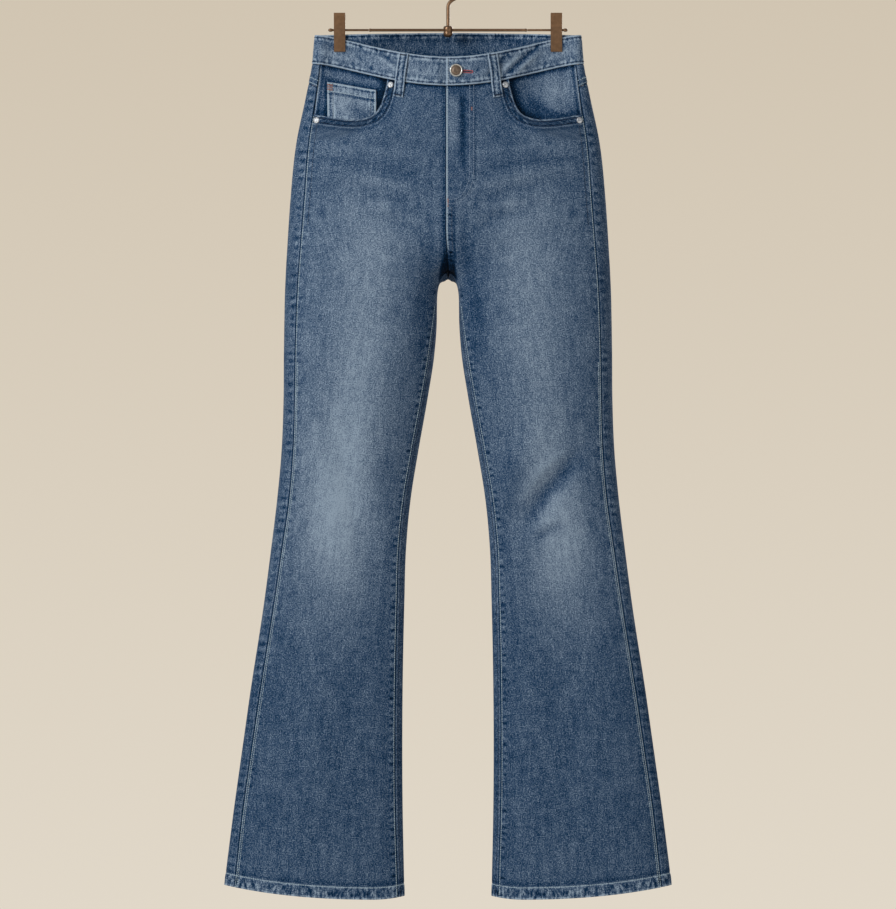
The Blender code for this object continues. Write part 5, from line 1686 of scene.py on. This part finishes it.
# Turned metal pieces: an outline of radius and height is spun round its axis
def revolve(name, profile, spot, axis, look, segments=32, nodes=()):
    profile = np.array(profile, float)
    angles = np.linspace(0, 2 * math.pi, segments, endpoint=False)
    ring = np.stack([np.cos(angles), np.sin(angles)], -1)
    heights = np.broadcast_to(profile[:, None, 1:], (len(profile), segments, 1))
    points = np.concatenate([profile[:, None, :1] * ring[None], heights], -1)
    turned = np.array(Vector(axis).to_track_quat("Z", "X").to_matrix())
    points = points.reshape(-1, 3) @ turned.T + np.array(spot)
    r, c = np.meshgrid(np.arange(len(profile) - 1), np.arange(segments), indexing="ij")
    a, b = (r * segments + c).ravel(), (r * segments + (c + 1) % segments).ravel()
    faces = np.stack([a, b, b + segments, a + segments], 1)
    mesh = meshFrom(name, points * mm, faces)
    mesh.materials.append(materials[look])
    shaped = bmesh.new()
    shaped.from_mesh(mesh)
    bmesh.ops.remove_doubles(shaped, verts=shaped.verts, dist=1e-6)
    bmesh.ops.dissolve_degenerate(shaped, edges=shaped.edges, dist=1e-7)
    bmesh.ops.recalc_face_normals(shaped, faces=shaped.faces)
    shaped.to_mesh(mesh)
    shaped.free()
    mesh.shade_smooth()
    mesh.set_sharp_from_angle(angle=math.radians(48))
    return declare(place(bpy.data.objects.new(name, mesh)), nodes)


button = {"dotRing": 5.5, "dots": 20, "innerRing": 2.6, "innerDots": 8}


def flyButton():
    spot, normal = bandSpot(band["buttonX"], band["buttonDrop"])
    foot = -band["thick"]
    face = [(0, 4.1), (1.2, 4.15), (2.0, 4.3), (3.2, 4.3), (4.0, 4.1), (4.6, 3.75), (6.4, 3.6),
            (6.7, 3.55), (6.7, 3.0), (0, 3.0)]
    revolve("buttonFace", face, spot, normal, "buttonFace", 40)
    rim = [(6.6, 3.2), (6.6, 3.7), (6.9, 4.15), (7.4, 4.3), (7.9, 4.2), (8.3, 3.8), (8.4, 3.2), (8.2, 2.5),
           (7.4, 1.9), (4.0, 1.2), (2.4, 1.0), (2.0, 0.8), (2.0, foot), (0, foot), (0, 2.9), (6.6, 2.9),
           (6.6, 3.2)]
    revolve("buttonRim", rim, spot, normal, "buttonRim", 40, ["button"])
    side = Vector(normal).orthogonal().normalized()
    other = Vector(normal).cross(side)
    paths = []
    for radius, lift in ((button["dotRing"], 3.66), (button["innerRing"], 4.3)):
        angles = np.linspace(0, 2 * math.pi, 61)
        around = np.cos(angles)[:, None] * np.array(side) + np.sin(angles)[:, None] * np.array(other)
        points = np.array(spot) + radius * around
        paths.append((points + np.array(normal) * lift, np.broadcast_to(normal, points.shape)))
    ringLength = 2 * math.pi * button["dotRing"]
    pitch, slot = ringLength / button["dots"], "button_metal"
    sew("buttonDots", paths[:1], "buttonDots", pitch, 1.1, 0.7, segments=8)
    pitch = 2 * math.pi * button["innerRing"] / button["innerDots"]
    sew("buttonInnerDots", paths[1:], "buttonDots", pitch, 0.9, 0.5, segments=8)


rivetSpots = {"inner": (75.0, 45.0), "outer": (172.0, 111.0)}
rivetOutline = [(0, 1.0), (0.7, 1.05), (1.1, 1.5), (1.5, 1.6), (2.0, 1.35), (2.6, 1.15), (3.3, 1.1),
                (3.8, 0.85), (4.15, 0.4), (4.2, 0.0), (3.9, -0.25), (0, -0.25)]


def rivets():
    for side in sides:
        for name, (x, drop) in rivetSpots.items():
            spot, normal = onX(side, "front", x, drop, 0.05)
            cap, nodes = f"rivetCap_{name}_{side}", [f"rivet_{name}_{side}"]
            revolve(cap, rivetOutline, spot, normal, "rivetNickel", 28, nodes)


# The hanger: a telescopic rod, a wire hook in a collar and two spring clips
hanger = {
    "rodZ": -83.5,
    "waistZ": -90.0,
    "sleeveHalf": 103.5,
    "sleeveRadius": 2.1,
    "rodRadius": 1.5,
    "rodEnd": 154.0,
    "hookRadius": 23.0,
    "hookWire": 4.5,
    "stemTop": -54.5,
    "collarTop": 5.5,
    "clipWidth": 15.0,
    "clipPlate": 1.8,
    "clipAbove": 28.8,
    "clipBelow": 22.0,
    "handleDepth": 9.5,
}


def hangerRod():
    half, radius, z = hanger["sleeveHalf"], hanger["sleeveRadius"], hanger["rodZ"]
    lip = [(0, half), (1.7, half), (radius - 0.1, half - 0.3), (radius, half - 0.9), (radius, half - 2.4),
           (radius - 0.25, half - 3.0)]
    profile = lip + [(r, -s) for r, s in lip[::-1]]
    revolve("rodSleeve", profile, (0, 0, z), (1, 0, 0), "bronze", 24, ["hanger_sleeve"])
    for side, sign in sides.items():
        start, end = half + 0.3, hanger["rodEnd"]
        r = hanger["rodRadius"]
        profile = [(0, end + 3.0), (0.9, end + 2.8), (1.7, end + 2.0), (2.2, end + 0.8), (2.3, end - 0.4),
                   (2.1, end - 1.7), (r + 0.1, end - 2.6), (r, end - 3.4), (r, start + 0.4), (r - 0.2, start),
                   (0, start)]
        name, nodes = f"rodEnd_{side}", [f"hanger_rod_{side}"]
        revolve(name, profile, (0, 0, z), (sign, 0, 0), "bronze", 20, nodes)


def hookLine():
    radius = hanger["hookRadius"]
    centreZ = -radius + hanger["hookWire"] / 2
    startAngle, endAngle = math.radians(-52), math.radians(205)
    arcStart = np.array([radius * math.cos(startAngle), centreZ + radius * math.sin(startAngle)])
    low, top = np.array([0, hanger["rodZ"] + hanger["collarTop"] + 0.3]), np.array([0, hanger["stemTop"]])
    reach = np.linalg.norm(arcStart - top) * 0.45
    lean = np.array([-math.sin(startAngle), math.cos(startAngle)])
    controls = [top, top + [0, reach], arcStart - lean * reach, arcStart]
    line = [low + (top - low) * t for t in np.linspace(0, 1, 8)]
    for t in np.linspace(0, 1, 20)[1:-1]:
        weights = ((1 - t) ** 3, 3 * t * (1 - t) ** 2, 3 * t * t * (1 - t), t**3)
        line.append(sum(w * c for w, c in zip(weights, controls)))
    for angle in np.linspace(startAngle, endAngle, 60):
        line.append(np.array([radius * math.cos(angle), centreZ + radius * math.sin(angle)]))
    return np.array([(x, 0.0, z) for x, z in line])


def wireHook():
    line = hookLine()
    outs = np.broadcast_to((0.0, -1.0, 0.0), line.shape)
    radius = hanger["hookWire"] / 2
    wire = {"Radius": (radius - 0.02) * mm, "Segments": 20, "Finish": materials["bronze"]}
    piece = alongPaths("hookWire", wireTree, [(line, outs)], wire)
    tidyMesh(piece.data)
    declare(piece, ["hook"])
    end = line[-1]
    away = line[-1] - line[-2]
    cap = [(0, 2.2), (0.9, 2.0), (1.7, 1.3), (2.15, 0.4), (2.25, -0.4), (2.0, -0.6), (0, -0.6)]
    revolve("hookTip", cap, end - away / np.linalg.norm(away) * 1.4, away, "bronze", 20)
    z = hanger["rodZ"]
    collar = [(0, 5.5), (3.4, 5.5), (4.6, 5.2), (5.6, 4.4), (6.0, 3.2), (6.0, -1.2), (5.7, -1.6),
              (5.7, -2.4), (6.0, -2.8), (6.0, -5.0), (5.5, -7.0), (4.2, -8.6), (2.0, -9.4), (0, -9.5)]
    revolve("stemCollar", collar, (0, 0, z), (0, 0, 1), "bronze", 32, ["hook_collar"])


# A clip's plate: an upright jaw, a handle that leans out above the rod, and rounded edges
def clipPlate(side, face):
    sign = -1 if face == "front" else 1
    jaw = garment["gripHalfDepth"] + band["proud"] + seamGap
    inner = [(jaw, -hanger["clipBelow"]), (jaw, 10.5), (jaw + 0.5, 12.6), (jaw + 1.4, 14.8),
             (hanger["handleDepth"], hanger["clipAbove"])]
    outline = inner + [(y + hanger["clipPlate"], z) for y, z in reversed(inner)]
    half, x = hanger["clipWidth"] / 2, sides[side] * garment["clipX"]
    shaped = bmesh.new()
    rings = []
    for offset in (-half, half):
        rings.append([shaped.verts.new((x + offset, sign * y, hanger["waistZ"] + z)) for y, z in outline])
    shaped.faces.new(rings[0])
    shaped.faces.new(rings[1][::-1])
    count = len(outline)
    for i in range(count):
        shaped.faces.new((rings[0][i], rings[1][i], rings[1][(i + 1) % count], rings[0][(i + 1) % count]))
    bmesh.ops.recalc_face_normals(shaped, faces=shaped.faces)
    sharp = [edge for edge in shaped.edges if edge.calc_face_angle(0) > 0.9]
    bmesh.ops.bevel(shaped, geom=sharp, offset=0.45, segments=3, affect="EDGES", profile=0.6)
    bmesh.ops.scale(shaped, vec=(mm, mm, mm), verts=shaped.verts)
    mesh = bpy.data.meshes.new(f"clipPlate_{face}_{side}")
    shaped.to_mesh(mesh)
    shaped.free()
    mesh.materials.append(materials["bronze"])
    mesh.shade_smooth()
    mesh.set_sharp_from_angle(angle=math.radians(35))
    declare(place(bpy.data.objects.new(mesh.name, mesh)), [f"clip_{face}_{side}"])


# The spring is wound round the rod between the plates
def clipSpring(side):
    turns, radius, half = 7.0, 2.3, hanger["clipWidth"] / 2 - 2.4
    t = np.linspace(0, 1, 140)
    angle = t * turns * 2 * math.pi
    centre = sides[side] * garment["clipX"]
    y, z = radius * np.sin(angle), hanger["rodZ"] + radius * np.cos(angle)
    points = np.stack([centre + half * (2 * t - 1), y, z], -1)
    path = (points, np.broadcast_to((0.0, 0.0, 1.0), points.shape))
    wire = {"Radius": 0.55 * mm, "Segments": 8, "Finish": materials["bronze"]}
    piece = alongPaths(f"clipSpring_{side}", wireTree, [path], wire)
    tidyMesh(piece.data)
    declare(piece, [f"clip_barrel_{side}"])


buildDenim()
buildPlainLooks()
grainTree, wireTree = buildGrainTree(), buildWireTree()
print("looks and trees ready")

for side in sides:
    frontPanel(side)
    backPanel(side)
    yoke(side)
    waistband(side)
    pocketInside(side)
    backPocket(side)
    hem(side)
coinPocket()
flyInside()
for loop in beltLoops:
    beltLoop(loop)
print("cloth made")

pale, navy, grey = panelStitches()
morePale, moreNavy = smallPieceStitches()
rust, navyTacks = barTacks()
sew("stitchesPale", pale + morePale, "threadPale")
sew("stitchesGrey", grey, "threadGrey")
sew("stitchesNavy", navy + moreNavy + bandStitches(), "threadNavy")
sew("tacksRust", rust, "threadRust", 0.75, 2.6, 0.65, math.pi / 2)
sew("tacksNavy", navyTacks, "threadNavy", 0.75, 2.2, 0.65, math.pi / 2)
sew("buttonholeThread", buttonholeThread(), "threadRose", 0.62, 1.7, 0.6, math.pi / 2)
zipDrops = np.linspace(bandHeight + 4, fly["endDrop"] - 14, 80)
zipRow = onX("l", "front", np.full(80, 4.0), zipDrops, 0)
zipLift = -(clothThick + 2 * seamGap + fly["zipThickness"] + 0.1 + fly["raised"])
zipRow = (zipRow[0] + zipRow[1] * zipLift, zipRow[1])
sew("zipTeeth", [zipRow], "zipBrass", 1.6, 4.2, 0.9, math.pi / 2)
print("sewing done")

flyButton()
rivets()
hangerRod()
wireHook()
for side in sides:
    clipPlate(side, "front")
    clipPlate(side, "back")
    clipSpring(side)
print("metal made")

# The studio: a pale floor that fades into a pale room, soft light and a camera square to the garment's front
studio = {
    "floorZ": -2.0,
    "floorRadius": 13.0,
    "litRadius": 0.5,
    "plainRadius": 2.2,
    "upper": (209, 197, 178),
    "lower": (225, 216, 201),
    "fadeBelow": -0.052,
    "fadeAbove": 0.05,
    "ambient": 0.3,
    "cameraZ": -0.6395,
    "cameraDistance": 12.0,
    "frameHeight": 1.191,
}
# Name, place, size in metres and power in watts
lightRows = [
    ("keyLight", (-2.4, -2.7, 0.9), 1.5, 93.0),
    ("fillLight", (2.8, -3.0, -0.6), 2.6, 16.0),
    ("backLight", (1.4, 3.2, 0.6), 1.8, 62.0),
]


def floor():
    bpy.ops.mesh.primitive_circle_add(vertices=96, radius=studio["floorRadius"], fill_type="NGON",
                                      location=(0, 0, studio["floorZ"]))
    disc = bpy.context.object
    disc.name = "floor"
    disc.visible_diffuse = False
    tree, shader = principled("floorPaper", toLinear(*studio["lower"]), 0.95)
    coords = add(tree, "ShaderNodeTexCoord").outputs["Object"]
    away = add(tree, "ShaderNodeVectorMath", {0: coords}, operation="LENGTH").outputs["Value"]
    values = {"Value": away, "From Min": studio["litRadius"], "From Max": studio["plainRadius"]}
    plain = add(tree, "ShaderNodeMapRange", values, interpolation_type="SMOOTHSTEP").outputs[0]
    glow = add(tree, "ShaderNodeEmission", {"Color": toLinear(*studio["lower"])}).outputs[0]
    both = add(tree, "ShaderNodeMixShader", {0: plain, 1: shader.outputs[0], 2: glow}).outputs[0]
    tree.links.new(both, tree.nodes["Material Output"].inputs["Surface"])
    disc.data.materials.append(materials["floorPaper"])


# The room's pale colour is what the camera sees, and a plain grey lights the garment
def room():
    world = bpy.data.worlds.new("paleRoom")
    world.use_nodes = True
    tree = world.node_tree
    light = tree.nodes["Background"]
    light.inputs[0].default_value = (1.0, 1.0, 1.0, 1.0)
    light.inputs[1].default_value = studio["ambient"]
    direction = add(tree, "ShaderNodeTexCoord").outputs["Generated"]
    z = add(tree, "ShaderNodeSeparateXYZ", {"Vector": direction}).outputs["Z"]
    rise = {"Value": z, "From Min": studio["fadeBelow"], "From Max": studio["fadeAbove"]}
    rise = add(tree, "ShaderNodeMapRange", rise).outputs[0]
    colour = blendColour(tree, rise, toLinear(*studio["lower"]), toLinear(*studio["upper"]))
    seen = add(tree, "ShaderNodeBackground", {"Color": colour}).outputs[0]
    isSeen = add(tree, "ShaderNodeLightPath").outputs["Is Camera Ray"]
    both = add(tree, "ShaderNodeMixShader", {0: isSeen, 1: light.outputs[0], 2: seen}).outputs[0]
    tree.links.new(both, tree.nodes["World Output"].inputs["Surface"])
    bpy.context.scene.world = world


def lightsAndCamera():
    target = Vector((0, 0, studio["cameraZ"]))
    for name, where, size, power in lightRows:
        light = bpy.data.lights.new(name, "AREA")
        light.size = size
        light.energy = power
        lamp = place(bpy.data.objects.new(name, light))
        lamp.visible_camera = False
        lamp.location = where
        lamp.rotation_euler = (target - lamp.location).to_track_quat("-Z", "Y").to_euler()
    bpy.context.scene.view_settings.view_transform = "Standard"
    camera = bpy.data.cameras.new("camera")
    camera.sensor_width = 36.0
    camera.lens = 36.0 * studio["cameraDistance"] / studio["frameHeight"]
    camera.clip_end = 50.0
    eye = place(bpy.data.objects.new("camera", camera))
    eye.location = (0, -studio["cameraDistance"], studio["cameraZ"])
    eye.rotation_euler = (math.pi / 2, 0, 0)
    bpy.context.scene.camera = eye


floor()
room()
lightsAndCamera()
print("studio ready")
